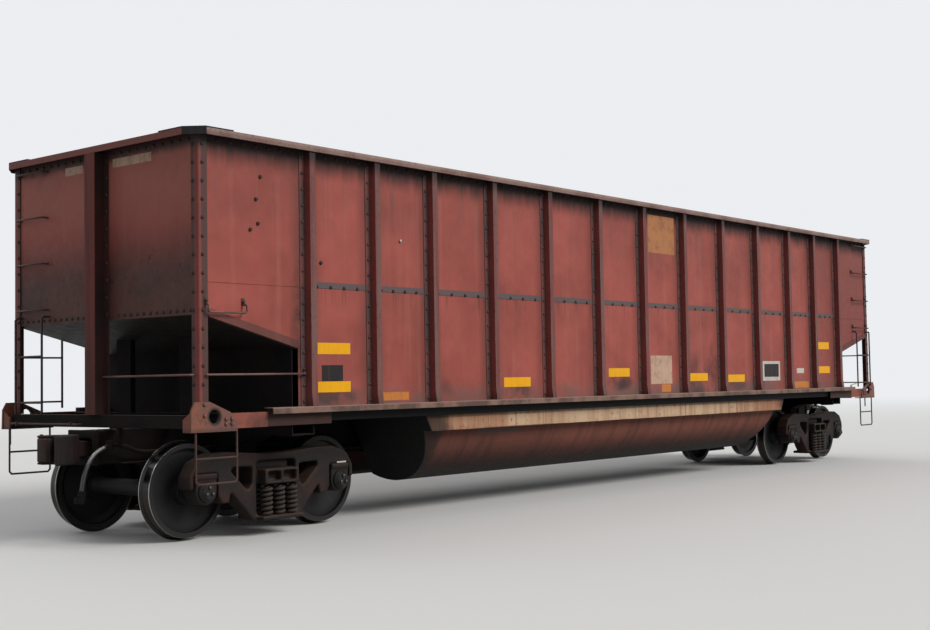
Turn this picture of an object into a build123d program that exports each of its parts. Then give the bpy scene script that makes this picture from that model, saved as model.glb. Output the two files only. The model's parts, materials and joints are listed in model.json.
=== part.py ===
from build123d import *
import math
import os

os.makedirs("parts", exist_ok=True)

# An open-top bathtub coal wagon on two four-wheel trucks. Sizes in mm, X along the wagon, +Z up.
# The origin is on the floor under the middle of the wagon. The wheel flanges stand on that floor,
# so the rail top lies one flange height up. End a is at -X; end b, with the hand brake, is at +X.
# What has a left and a right hand is made for one side or end and turned half round for the other.

# Wheels and axles
flange_height = 25
wheel_radius = 457
wheel_back = 676.5              # inner face of a wheel, from the middle of the wagon
rim_width = 139.5
rim_depth = 52
hub_radius = 140
seat_radius = 95
axle_radius = 82
journal_y = 1003
journal_radius = 78.5
cap_end = 1150                  # outer face of the axle's end cap
cap_radius = 100

# Trucks
truck_centres = 12344
axle_spacing = 1778
bearing_radius = 126
bearing_length = 190
adapter_width = 250
pedestal_roof = 168             # above the axle
running_gap = 0.05
frame_inner = 908
frame_outer = 1098
frame_rim = 30
frame_recess = 26
window_round = 25
window_half = 260               # opening for the bolster's end and the springs
window_bottom = 198
window_top = 736
seat_half_y = 200
spring_radius = 64
spring_pitch_x = 165
spring_pitch_y = 130
bolster_half = 225
bolster_end_y = 1190
bolster_top = 658
bolster_depth = 152
bolster_opening = 170           # width of each opening in a bolster's end
bolster_belly = 380
bolster_wall = 27
bolster_web = 34
side_bearing_y = 635
side_bearing_height = 80
bowl_floor = 670
bowl_radius = 178
plate_radius = 175
beam_x = 345                    # brake beam, from the middle of the truck
beam_z = 400
shoe_gap = 8
shoe_depth = 48
shoe_y = 745
shoe_width = 80

# Body shell
sheet = 8
striker_x = 7690
end_setback = 220               # from the striker to the end sheet
side_y = 1513                   # outer face of the side sheets
chord_top = 3855
chord_face = 65
chord_wall = 10
chord_reach = 107               # from the side sheet to the chord's outer face
end_chord_reach = 130
corner_cut = 138                # slant across the corner of the chords, along X
corner_cut_y = 179
cap_leg_x = 331                 # legs of the corner cap beyond the slant
cap_leg_y = 348
cap_wall = 12
post_depth = 87
post_flange = 80
post_foot = 70
post_wall = 10
foot_height = 130
foot_flare = 18
post_places = (0, 1060, 2153, 3243, 4304, 5217, 6149)   # post webs, from the middle
corner_leg = 105                # legs of the corner post, an angle round the sheets' corner
corner_wall = 12
corner_round = 16
end_post_width = 170
end_post_foot = 60

# Floor
sill_top = 1270
sill_lip = 60
sill_depth = 150
sill_wall = 10
sill_overhang = 107             # from the side sheet to the sill's outer lip
seam_z = 2475
seam_height = 60
seam_wall = 5
seam_gap = 5
bay_x = 6250                    # where the side sheet's lower edge starts to slope up
bay_z = 1838
slope_rise = 0.2565             # rise of the slope floor for each mm along the wagon
slope_foot_x = 4440             # where the slope floor meets the steep end
slope_angle_leg = 78
slope_angle_wall = 14
tub_top_z = 1215
tub_foot_x = 3900               # tub end, at the tub's bottom
tub_side_y = 1450
tub_ledge_z = 945
tub_arc_y = 590                 # middle of the tub's round bottom
tub_arc_radius = 760
tub_ledge_in = 20               # from the round bottom's widest place to the ledge
tub_inner_y = 275
tub_wall = 8

# Underframe
centre_web_y = 164              # outer face of a centre sill web
centre_bottom = 745
centre_height = 330
centre_flange = 100
centre_wall = 12
hood_rise = 255
hood_wall = 12
end_sill_reach = 90             # from the end sheet to the end sill's outer face
end_sill_bottom = 1100
end_sill_height = 122
end_sill_depth = 120
gusset_reach = 139              # from the end sheet to the corner gusset's outer face
gusset_length = 535
gusset_bottom = 1066
gusset_height = 277
gusset_side = 51                # from the side sheet to the gusset's outer face
gusset_wall = 20
gusset_return = 134             # width of the gusset's end face
rope_hole_radius = 65
rope_hole_in = 271              # from the gusset's outer end to the hole
rope_hole_up = 140
boss_wall = 15
boss_radius = 92
gusset_pad_drop = 15            # from the gusset's top to the pad behind it
gusset_pad_height = 76
stub_length = 400               # between the gusset and the sill's lip
stub_lap = 120                  # how far the stub reaches behind the gusset
stub_drop = 39                  # from the sill's top to the stub's
stub_height = 141
stub_depth = 66
truck_channel = (342, 503)      # over each truck: from, to, from the truck's middle
truck_channel_drop = 177
body_bolster_half = 150
body_bolster_wall = 14
bolster_end_z = 1000
bolster_end_pad = 1320
draft_length = 290
draft_half = 200
draft_slot_y = 155
draft_slot_up = 95
striker_wall = 40
striker_lip = 40
bearer_x = 6800                 # cross bearer under the slope floor
bearer_width = 80
bearer_wall = 10
column_y = (400, 640)
column_depth = 60
beam_angle = 50

# Couplers
coupler_z = 901
coupler_reach = 400             # from the striker to the pulling face
coupler_pivot_in = 560
shank_y = 65
shank_z = 75
head_z = 140
knuckle_z = 112
pin_radius = 40
pin_gap = 0.08
yoke_length = 600
yoke_y = 120
yoke_wall = 24

# Fittings
bar_radius = 10
stile_radius = 12
stand_off = 75
ladder_in = 80                  # from the end sheet to the side ladder's outer foot
ladder_width = 525
rung_pitch = 477
first_rung = 130                # below the chord's top
step_width = 481
step_in = 75                    # from the gusset's outer face to the step's outer leg
step_bottom = 595
step_rung = 826
rail_z = 1590
grab_z = 2245
grab_drop = 80
grab_width = 453
grab_in = 66
lever_z = 1130
lever_x_reach = 60              # from the end sill's face to the uncoupling lever
lever_drop = 220
pipe_radius = 21
pipe_y = 310                    # beside the centre sill, over the trucks
pipe_z = 850
pipe_hole = 32
low_pipe_y = 200
hanger_pitch = 3000
cock_reach = 50                 # from the striker back to the angle cock
cock_y = 380
cock_z = 935
cock_radius = 36
hose_radius = 22
tank_radius = 190
tank_length = 900
hand_brake_drop = 1400          # from the chord's top to the hand brake's axle
brake_step_y = 170              # from the hand brake to the middle of its step
brake_step_size = (170, 480, 24)
seat_gap = 0.3
touch = 1                       # overlap that joins two shapes of one piece

axle_z = flange_height + wheel_radius
truck_x = truck_centres / 2
end_x = striker_x - end_setback
chord_y = side_y + chord_reach
chord_x = end_x + end_chord_reach
chord_bottom = chord_top - chord_face
post_y = side_y + post_depth
floor_y = side_y - sheet
web_y = floor_y - sill_wall     # inner face of a side sill's web
sill_y = side_y + sill_overhang
gusset_x = end_x + gusset_reach
gusset_inner_x = gusset_x - gusset_length
gusset_y = side_y + gusset_side
gusset_end_y = gusset_y - gusset_return
gusset_top = gusset_bottom + gusset_height
rope_hole_x = gusset_x - rope_hole_in
rope_hole_z = gusset_bottom + rope_hole_up
sill_half = gusset_inner_x - stub_length
end_sill_x = end_x + end_sill_reach
end_sill_inner = end_sill_x - end_sill_depth
end_sill_top = end_sill_bottom + end_sill_height
centre_top = centre_bottom + centre_height
centre_foot = centre_web_y + centre_flange
centre_half = striker_x - draft_length
coupler_face = striker_x + coupler_reach
coupler_pivot = striker_x - coupler_pivot_in
bolster_bottom = bolster_top - bolster_depth
roof_z = axle_z + pedestal_roof
tub_ledge_y = tub_arc_y + tub_arc_radius - tub_ledge_in
tub_arc_z = tub_ledge_z + math.sqrt(tub_arc_radius ** 2 - (tub_ledge_y - tub_arc_y) ** 2)
tub_bottom = tub_arc_z - tub_arc_radius
hood_y = tub_inner_y + tub_wall
corner_edge = end_x + corner_wall - corner_leg
foot_y = side_y + sheet         # outer face of a post's riveted flange
flange_y = side_y + corner_wall
flange_x = end_x + corner_wall
stub_y = gusset_y - gusset_wall
web_places = sorted({side * place for place in post_places for side in (1, -1)})
parts = {}


def slope_height(x):
    """Height of the slope floor's upper face."""
    return bay_z + (x - bay_x) * slope_rise


steep_run = (slope_foot_x - tub_foot_x) / (slope_height(slope_foot_x) - tub_bottom)
tub_top_x = slope_foot_x - (slope_height(slope_foot_x) - tub_top_z) * steep_run


def keep(part, name):
    part.label = name
    parts[name] = part


def both_hands(part):
    """The piece and its copy turned half round the upright axis."""
    return part + part.rotate(Axis.Z, 180)


def steep_plane(side, back=0):
    """The plane of a tub's steep end, facing away from the load, or one that lies further back."""
    return Plane(
        origin=(side * (tub_top_x - back), 0, tub_top_z),
        x_dir=(0, 1, 0),
        z_dir=(side, 0, -steep_run),
    )


def slope_plane(side, drop):
    """The plane of the slope floor's underside, or one that lies lower, facing up."""
    return Plane(
        origin=(side * bay_x, 0, bay_z - drop),
        x_dir=(0, 1, 0),
        z_dir=(-side * slope_rise, 0, 1),
    )


def bent_bar(points, radius, bend=25):
    """A round bar through the points, each corner taken as two short mitres."""
    corners = [Vector(*point) for point in points]
    route = [corners[0]]
    for before, corner, after in zip(corners, corners[1:], corners[2:]):
        route.append(corner + (before - corner).normalized() * bend)
        route.append(corner + (after - corner).normalized() * bend)
    route.append(corners[-1])
    with BuildPart() as bar:
        with BuildLine() as path:
            Polyline(*route)
        with BuildSketch(Plane(origin=route[0], z_dir=route[1] - route[0])):
            Circle(radius)
        sweep(path=path.line, transition=Transition.RIGHT)
    return bar.part


# Side sheets, with a lap strip along the seam and the slope floor's angle in each end bay
with BuildPart() as side_sheets:
    plate_top = chord_top - chord_wall
    with BuildSketch(Plane.XZ.offset(floor_y)):
        with BuildLine():
            Polyline(
                (-bay_x, sill_top), (bay_x, sill_top), (bay_x, bay_z), (end_x, slope_height(end_x)),
                (end_x, plate_top), (-end_x, plate_top), (-end_x, slope_height(end_x)),
                (-bay_x, bay_z), close=True,
            )
        make_face()
    extrude(amount=sheet)
    strip_ends = [-corner_edge - post_wall] + web_places
    strip_stops = web_places + [corner_edge + post_foot]
    with BuildSketch(Plane.XZ.offset(side_y)):
        for start, stop in zip(strip_ends, strip_stops):
            left = start + post_wall + seam_gap
            right = stop - post_foot - seam_gap
            with Locations(((left + right) / 2, seam_z)):
                Rectangle(right - left, seam_height)
    extrude(amount=seam_wall)
    angle_end = corner_edge - seam_gap
    with BuildSketch(Plane.XZ.offset(side_y)):
        for side in (1, -1):
            with BuildLine():
                Polyline(
                    (side * bay_x, bay_z), (side * angle_end, slope_height(angle_end)),
                    (side * angle_end, slope_height(angle_end) + slope_angle_leg),
                    (side * bay_x, bay_z + slope_angle_leg), close=True,
                )
            make_face()
    extrude(amount=slope_angle_wall)
keep(both_hands(side_sheets.part), "side_sheets")

# Posts: Z sections with the riveted flange against the sheet and the outer flange turned away,
# flaring out to the sill's lip at the foot
with BuildPart() as side_posts:
    with BuildSketch(Plane.XY.offset(sill_top + foot_height)):
        for x in web_places:
            with BuildLine():
                Polyline(
                    (x - post_foot, -side_y), (x + post_wall, -side_y),
                    (x + post_wall, post_wall - post_y), (x + post_flange, post_wall - post_y),
                    (x + post_flange, -post_y), (x, -post_y),
                    (x, -side_y - sheet), (x - post_foot, -side_y - sheet), close=True,
                )
            make_face()
    extrude(amount=chord_bottom - sill_top - foot_height)
    for x in web_places:
        with BuildSketch(Plane.YZ.offset(x)):
            with BuildLine():
                Polyline(
                    (-side_y, sill_top), (-post_y - foot_flare, sill_top),
                    (-post_y, sill_top + foot_height), (-side_y, sill_top + foot_height), close=True,
                )
            make_face()
        extrude(amount=post_wall)
        with BuildSketch(Plane.YZ.offset(x)):
            with BuildLine():
                Polyline(
                    (post_wall - post_y - foot_flare, sill_top), (-post_y - foot_flare, sill_top),
                    (-post_y, sill_top + foot_height), (post_wall - post_y, sill_top + foot_height),
                    close=True,
                )
            make_face()
        extrude(amount=post_flange)
        with BuildSketch(Plane.YZ.offset(x - post_foot)):
            with Locations((-side_y - sheet / 2, sill_top + foot_height / 2)):
                Rectangle(sheet, foot_height)
        extrude(amount=post_foot)
keep(side_posts.part, "side_posts_near")
keep(side_posts.part.rotate(Axis.Z, 180), "side_posts_far")

# End sheets
with BuildPart() as end_sheets:
    with BuildSketch(Plane.YZ.offset(end_x - sheet)):
        with Locations((0, (slope_height(end_x) + chord_top - chord_wall) / 2)):
            Rectangle(2 * floor_y, chord_top - chord_wall - slope_height(end_x))
    extrude(amount=sheet)
    mirror(about=Plane.YZ)
keep(end_sheets.part, "end_sheets")


def chord_section(inner, outer):
    """A chord's section: inner wall, top plate and outer lip, open below."""
    lip = outer - chord_wall
    web = inner + chord_wall
    plate = chord_top - chord_wall
    return (
        (inner, chord_bottom), (web, chord_bottom), (web, plate), (lip, plate), (lip, chord_bottom),
        (outer, chord_bottom), (outer, chord_top), (inner, chord_top),
    )


# Chords: side and end runs stop where the corner is cut on the slant, under a flat cap
slant_x = chord_x - corner_cut
slant_y = chord_y - corner_cut_y
inner_x = end_x - sheet - chord_wall
inner_y = floor_y - chord_wall
with BuildPart() as side_chords:
    with BuildSketch(Plane.YZ.offset(-inner_x)):
        with BuildLine():
            Polyline(*chord_section(inner_y, chord_y), close=True)
        make_face()
    extrude(amount=2 * inner_x)
    mirror(about=Plane.XZ)
keep(side_chords.part, "side_chords")

with BuildPart() as end_chords:
    with BuildSketch(Plane.XZ.offset(-slant_y)):
        with BuildLine():
            Polyline(*chord_section(inner_x, chord_x), close=True)
        make_face()
    extrude(amount=2 * slant_y)
    mirror(about=Plane.YZ)
keep(end_chords.part, "end_chords")

with BuildPart() as corner_caps:
    with BuildSketch(Plane.XY.offset(chord_top)):
        with BuildLine():
            Polyline(
                (slant_x - cap_leg_x, inner_y), (slant_x - cap_leg_x, chord_y), (slant_x, chord_y),
                (chord_x, slant_y), (chord_x, slant_y - cap_leg_y), (inner_x, slant_y - cap_leg_y),
                (inner_x, inner_y), close=True,
            )
        make_face()
    extrude(amount=cap_wall)
    slant = (chord_wall * corner_cut_y / corner_cut, chord_wall * corner_cut / corner_cut_y)
    with BuildSketch(Plane.XY.offset(chord_bottom)):
        with BuildLine():
            Polyline(
                (inner_x, chord_y), (slant_x, chord_y), (chord_x, slant_y),
                (chord_x - chord_wall, slant_y), (slant_x - slant[1] / 2, chord_y - chord_wall),
                (inner_x, chord_y - chord_wall), close=True,
            )
        make_face()
    extrude(amount=chord_face)
    mirror(about=Plane.XZ)
    mirror(about=Plane.YZ)
keep(corner_caps.part, "corner_caps")

# Corner posts: an angle riveted round the corner of the sheets, from the end sill to the chords
with BuildPart() as corner_posts:
    with BuildSketch(Plane.XY.offset(end_sill_top)) as corner_section:
        with BuildLine():
            Polyline(
                (corner_edge, side_y), (corner_edge, flange_y), (flange_x, flange_y),
                (flange_x, flange_y - corner_leg), (end_x, flange_y - corner_leg), (end_x, side_y),
                close=True,
            )
        make_face()
        heel = corner_section.vertices().sort_by_distance((flange_x, flange_y, end_sill_top))[0]
        fillet(heel, radius=corner_round)
    extrude(amount=chord_top - chord_wall - end_sill_top)
    mirror(about=Plane.XZ)
    mirror(about=Plane.YZ)
keep(corner_posts.part, "corner_posts")

# End posts: a channel with its back outward, riveted through two flanges, standing on the end sill
with BuildPart() as end_posts:
    with BuildSketch(Plane.XY.offset(end_sill_top)):
        half = end_post_width / 2
        with BuildLine():
            Polyline(
                (end_x, -half - end_post_foot), (end_x + sheet, -half - end_post_foot),
                (end_x + sheet, -half), (chord_x, -half), (chord_x, half), (end_x + sheet, half),
                (end_x + sheet, half + end_post_foot), (end_x, half + end_post_foot),
                (end_x, half - sheet), (chord_x - sheet, half - sheet),
                (chord_x - sheet, sheet - half), (end_x, sheet - half), close=True,
            )
        make_face()
    extrude(amount=chord_bottom - end_sill_top)
    mirror(about=Plane.YZ)
keep(end_posts.part, "end_posts")

# Slope floors: plates from the end sheets down to the steep ends of the tubs
with BuildPart() as slope_floors:
    with BuildSketch(Plane.XZ.offset(-floor_y)):
        with BuildLine():
            Polyline(
                (tub_top_x, tub_top_z), (slope_foot_x, slope_height(slope_foot_x)),
                (end_x, slope_height(end_x)), (end_x, slope_height(end_x) - sheet),
                (slope_foot_x + sheet, slope_height(slope_foot_x + sheet) - sheet),
                (tub_top_x + sheet, tub_top_z), close=True,
            )
        make_face()
    extrude(amount=2 * floor_y)
    with BuildSketch(Plane.XY.offset(tub_top_z)):
        for side in (1, -1):
            with Locations((tub_top_x, side * (floor_y + web_y) / 2)):
                Rectangle(4 * sill_depth, floor_y - web_y)
    extrude(amount=sill_top - tub_top_z, mode=Mode.SUBTRACT)
    mirror(about=Plane.YZ)
keep(slope_floors.part, "slope_floors")

# Tubs: a straight upper side, a ledge and a round bottom, closed by steep ends
with BuildPart() as tubs:
    inner_arc_z = tub_arc_z - math.sqrt(tub_arc_radius ** 2 - (tub_arc_y - tub_inner_y) ** 2)
    with BuildSketch(Plane.YZ.offset(-tub_top_x)):
        with BuildLine():
            Polyline(
                (tub_inner_y, inner_arc_z), (tub_inner_y, tub_top_z), (tub_side_y, tub_top_z),
                (tub_side_y, tub_ledge_z), (tub_ledge_y, tub_ledge_z),
            )
            ThreePointArc((tub_ledge_y, tub_ledge_z), (tub_arc_y, tub_bottom), (tub_inner_y, inner_arc_z))
        make_face()
    extrude(amount=2 * tub_top_x)
    for side in (1, -1):
        split(bisect_by=steep_plane(side), keep=Keep.BOTTOM)
    offset(amount=-tub_wall, openings=tubs.faces().sort_by(Axis.Z)[-1])
    with Locations((0, tub_inner_y + tub_wall / 2, (centre_top + tub_top_z) / 2)):
        Box(2 * tub_top_x, tub_wall, tub_top_z - centre_top, mode=Mode.SUBTRACT)
    with Locations((0, (tub_side_y + web_y) / 2 - tub_wall / 2, tub_top_z - tub_wall / 2)):
        Box(2 * tub_top_x, web_y - tub_side_y + tub_wall, tub_wall)
    mirror(about=Plane.XZ)
keep(tubs.part, "tubs")

# Hood over the centre sill, between the tubs
with BuildPart() as hood:
    with BuildSketch(Plane.YZ.offset(-slope_foot_x)):
        peak = centre_top + hood_rise
        with BuildLine():
            Polyline(
                (-hood_y, centre_top), (0, peak), (hood_y, centre_top),
                (hood_y - hood_wall, centre_top), (0, peak - hood_wall),
                (hood_wall - hood_y, centre_top), close=True,
            )
        make_face()
    extrude(amount=2 * slope_foot_x)
    for side in (1, -1):
        split(bisect_by=steep_plane(side, seat_gap), keep=Keep.BOTTOM)
keep(hood.part, "sill_hood")

# Side sills: outer lip, top plate and inner web, with a stub to each corner gusset and a channel
# over each truck
with BuildPart() as side_sills:
    with BuildSketch(Plane.YZ.offset(-sill_half)):
        with BuildLine():
            Polyline(
                (web_y, sill_top - sill_depth), (floor_y, sill_top - sill_depth),
                (floor_y, sill_top - sill_wall), (sill_y - sill_wall, sill_top - sill_wall),
                (sill_y - sill_wall, sill_top - sill_lip), (sill_y, sill_top - sill_lip),
                (sill_y, sill_top), (web_y, sill_top), close=True,
            )
        make_face()
    extrude(amount=2 * sill_half)
    stub_top = sill_top - stub_drop
    stub_foot = stub_top - stub_height
    channel_top = sill_top - sill_wall
    channel_foot = sill_top - truck_channel_drop
    channel_end = truck_x + truck_channel[1]
    for side in (1, -1):
        with BuildSketch(Plane.YZ.offset(side * (channel_end - touch))):
            with BuildLine():
                Polyline(
                    (stub_y, stub_top), (stub_y, stub_foot), (stub_y - stub_depth, stub_foot),
                    (stub_y - stub_depth, stub_foot + sill_wall),
                    (stub_y - sill_wall, stub_foot + sill_wall),
                    (stub_y - sill_wall, stub_top - sill_wall),
                    (stub_y - stub_depth, stub_top - sill_wall), (stub_y - stub_depth, stub_top),
                    close=True,
                )
            make_face()
        extrude(amount=side * (gusset_inner_x + stub_lap - channel_end))
        with BuildSketch(Plane.YZ.offset(side * (truck_x - truck_channel[0]))):
            with BuildLine():
                Polyline(
                    (floor_y, channel_top), (floor_y, channel_foot), (stub_y, channel_foot),
                    (stub_y, channel_top), (stub_y - sill_wall, channel_top),
                    (stub_y - sill_wall, channel_foot + sill_wall),
                    (floor_y + sill_wall, channel_foot + sill_wall),
                    (floor_y + sill_wall, channel_top), close=True,
                )
            make_face()
        extrude(amount=side * sum(truck_channel))
    mirror(about=Plane.XZ)
keep(side_sills.part, "side_sills")

# Corner gussets: a cast corner with the rope hole through its bossed side plate
gusset_outline = (  # along X from the outer end, up from the bottom
    (0, 0), (-4, 200), (-47, 276), (-215, 277), (-462, 175), (-535, 85), (-535, 0),
)
with BuildPart() as corner_gussets:
    with BuildSketch(Plane.XZ.offset(-gusset_y)) as gusset_face:
        with BuildLine():
            Polyline(*[(gusset_x + along, gusset_bottom + up) for along, up in gusset_outline], close=True)
        make_face()
        fillet(gusset_face.vertices().filter_by_position(Axis.Z, rope_hole_z, gusset_top + touch), radius=25)
        with Locations((rope_hole_x, rope_hole_z)):
            Circle(rope_hole_radius, mode=Mode.SUBTRACT)
    extrude(amount=gusset_wall)
    with BuildSketch(Plane.XZ.offset(gusset_wall - gusset_y)):
        with Locations((rope_hole_x, rope_hole_z)):
            Circle(boss_radius)
            Circle(rope_hole_radius, mode=Mode.SUBTRACT)
    extrude(amount=boss_wall)
    end_wall = gusset_x - 10
    with BuildSketch(Plane.YZ.offset(end_wall - gusset_wall)):
        with BuildLine():
            Polyline(
                (gusset_y - touch, gusset_bottom), (gusset_y - touch, gusset_bottom + 200),
                (gusset_end_y, gusset_bottom + 114), (gusset_end_y, gusset_bottom), close=True,
            )
        make_face()
    extrude(amount=gusset_wall)
    floor_in = gusset_end_y - gusset_y
    with Locations((gusset_x - gusset_length / 2 - 5, gusset_y + floor_in / 2 - touch, gusset_bottom + 6)):
        Box(gusset_length - 12, -floor_in - touch, 12)
    pad_top = gusset_top - gusset_pad_drop
    with Locations(((corner_edge + end_x) / 2 + 8, (flange_y + stub_y + touch) / 2,
                    pad_top - gusset_pad_height / 2)):
        Box(corner_leg - 18, stub_y + touch - flange_y, gusset_pad_height)
    mirror(about=Plane.XZ)
    mirror(about=Plane.YZ)
keep(corner_gussets.part, "corner_gussets")

# End sills: channels open inward, between the gussets
with BuildPart() as end_sills:
    with BuildSketch(Plane.XZ.offset(-gusset_end_y)):
        with BuildLine():
            Polyline(
                (end_sill_inner, end_sill_bottom), (end_sill_x, end_sill_bottom),
                (end_sill_x, end_sill_top), (end_sill_inner, end_sill_top),
                (end_sill_inner, end_sill_top - sill_wall),
                (end_sill_x - sill_wall, end_sill_top - sill_wall),
                (end_sill_x - sill_wall, end_sill_bottom + sill_wall),
                (end_sill_inner, end_sill_bottom + sill_wall), close=True,
            )
        make_face()
    extrude(amount=2 * gusset_end_y)
    mirror(about=Plane.YZ)
keep(end_sills.part, "end_sills")

# Centre sill: two webs under a top plate, with a foot flange on each
with BuildPart() as centre_sill:
    inner_web = centre_web_y - centre_wall
    with BuildSketch(Plane.YZ.offset(-centre_half)):
        with BuildLine():
            Polyline(
                (-centre_foot, centre_bottom), (-inner_web, centre_bottom),
                (-inner_web, centre_top - centre_wall), (inner_web, centre_top - centre_wall),
                (inner_web, centre_bottom), (centre_foot, centre_bottom),
                (centre_foot, centre_bottom + centre_wall), (centre_web_y, centre_bottom + centre_wall),
                (centre_web_y, centre_top), (-centre_web_y, centre_top),
                (-centre_web_y, centre_bottom + centre_wall),
                (-centre_foot, centre_bottom + centre_wall), close=True,
            )
        make_face()
    extrude(amount=2 * centre_half)
keep(centre_sill.part, "centre_sill")

# Body bolsters: two webs and a bottom cover from the truck's centre plate to the slope floor, with
# side bearings and a jacking pad under each end
with BuildPart() as body_bolsters:
    cover_y = bolster_end_y - 290
    for place in (truck_x - body_bolster_half, truck_x + body_bolster_half - body_bolster_wall):
        with BuildSketch(Plane.YZ.offset(place)):
            with BuildLine():
                Polyline(
                    (0, centre_top), (centre_web_y, centre_top), (centre_web_y, centre_bottom + centre_wall),
                    (centre_foot, centre_bottom + centre_wall), (centre_foot, centre_bottom),
                    (cover_y, bolster_end_z), (web_y, bolster_end_z), (web_y, chord_bottom),
                    (0, chord_bottom), close=True,
                )
            make_face()
        extrude(amount=body_bolster_wall)
    split(bisect_by=slope_plane(1, sheet + seat_gap), keep=Keep.BOTTOM)
    with BuildSketch(Plane.YZ.offset(truck_x - body_bolster_half)):
        with BuildLine():
            Polyline(
                (0, centre_bottom), (centre_foot, centre_bottom), (cover_y, bolster_end_z),
                (web_y, bolster_end_z), (web_y, bolster_end_z - body_bolster_wall),
                (cover_y, bolster_end_z - body_bolster_wall),
                (centre_foot, centre_bottom - body_bolster_wall),
                (0, centre_bottom - body_bolster_wall), close=True,
            )
        make_face()
    extrude(amount=2 * body_bolster_half)
    cover_rise = (bolster_end_z - centre_bottom) / (cover_y - centre_foot)
    bearing_top = centre_bottom + (side_bearing_y - centre_foot) * cover_rise
    bearing_foot = bolster_top + side_bearing_height + 6
    with Locations((truck_x, side_bearing_y, (bearing_top + bearing_foot) / 2)):
        Box(190, 110, bearing_top - bearing_foot)
    with Locations((truck_x, bolster_end_pad, bolster_end_z - body_bolster_wall - 8)):
        Box(240, 120, 16)
    mirror(about=Plane.XZ)
    with Locations((truck_x, 0, (bowl_floor + seat_gap + centre_bottom) / 2)):
        Cylinder(plate_radius, centre_bottom - bowl_floor - seat_gap)
    for side in (1, -1):
        with Locations((truck_x, side * pipe_y, pipe_z)):
            Cylinder(pipe_hole, 2 * body_bolster_half, rotation=(0, 90, 0), mode=Mode.SUBTRACT)
    mirror(about=Plane.YZ)
keep(body_bolsters.part, "body_bolsters")

# Slope supports: a cross bearer on the centre sill at each end and the struts under the slope floor
with BuildPart() as slope_supports:
    bearer_end = stub_y - stub_depth
    with BuildSketch(Plane.XZ.offset(-bearer_end)):
        out = bearer_x + bearer_width / 2
        inside = bearer_x - bearer_width / 2
        with BuildLine():
            Polyline(
                (inside, centre_top), (out, centre_top), (out, centre_top + bearer_wall),
                (inside + bearer_wall, centre_top + bearer_wall),
                (inside + bearer_wall, end_sill_top - bearer_wall), (out, end_sill_top - bearer_wall),
                (out, end_sill_top), (inside, end_sill_top), close=True,
            )
        make_face()
    extrude(amount=2 * bearer_end)
    with BuildSketch(Plane.XY.offset(end_sill_top)):
        for side in (1, -1):
            with Locations((bearer_x, side * sum(column_y) / 2)):
                Rectangle(column_depth, column_y[1] - column_y[0])
            with Locations((bearer_x - bearer_wall, side * sum(column_y) / 2)):
                Rectangle(column_depth, column_y[1] - column_y[0] - 2 * bearer_wall, mode=Mode.SUBTRACT)
    extrude(amount=chord_bottom - end_sill_top)
    split(bisect_by=slope_plane(1, sheet + seat_gap), keep=Keep.BOTTOM)
    mirror(about=Plane.YZ)
keep(slope_supports.part, "slope_supports")

# Draft boxes: the striker and the pocket whose floor carries the coupler's shank
draft_middle = striker_x - draft_length / 2
with BuildPart() as draft_boxes:
    with Locations((draft_middle, 0, centre_bottom + centre_height / 2)):
        Box(draft_length, 2 * draft_half, centre_height)
    with Locations((striker_x - striker_wall / 2, 0, centre_bottom + centre_height / 2)):
        Box(striker_wall, 2 * (draft_half + striker_lip), centre_height + 10)
    fillet(draft_boxes.edges().filter_by(Axis.X).group_by(Axis.Z)[0], radius=18)
    slot_floor = coupler_z - shank_z - seat_gap
    with Locations((draft_middle, 0, (slot_floor + coupler_z + draft_slot_up) / 2)):
        Box(draft_length, 2 * draft_slot_y, coupler_z + draft_slot_up - slot_floor, mode=Mode.SUBTRACT)
    mirror(about=Plane.YZ)
keep(draft_boxes.part, "draft_boxes")

# Draft gears: the block in the centre sill, with the yoke's ears and the coupler's pin
with BuildPart() as draft_gears:
    yoke_back = coupler_pivot - shank_y - 10
    yoke_half = centre_web_y - centre_wall - seat_gap
    ear_z = shank_z + seat_gap
    with Locations((yoke_back - yoke_length / 2, 0, coupler_z)):
        Box(yoke_length, 2 * yoke_half, 2 * (ear_z + yoke_wall))
    for side in (1, -1):
        with Locations(((yoke_back + coupler_pivot + shank_y) / 2 - touch, 0,
                        coupler_z + side * (ear_z + yoke_wall / 2))):
            Box(2 * shank_y + 10 + 2 * touch, 2 * yoke_y, yoke_wall)
    with Locations((coupler_pivot, 0, coupler_z)):
        Cylinder(pin_radius, 2 * (ear_z + yoke_wall))
    mirror(about=Plane.YZ)
keep(draft_gears.part, "draft_gears")

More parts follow.
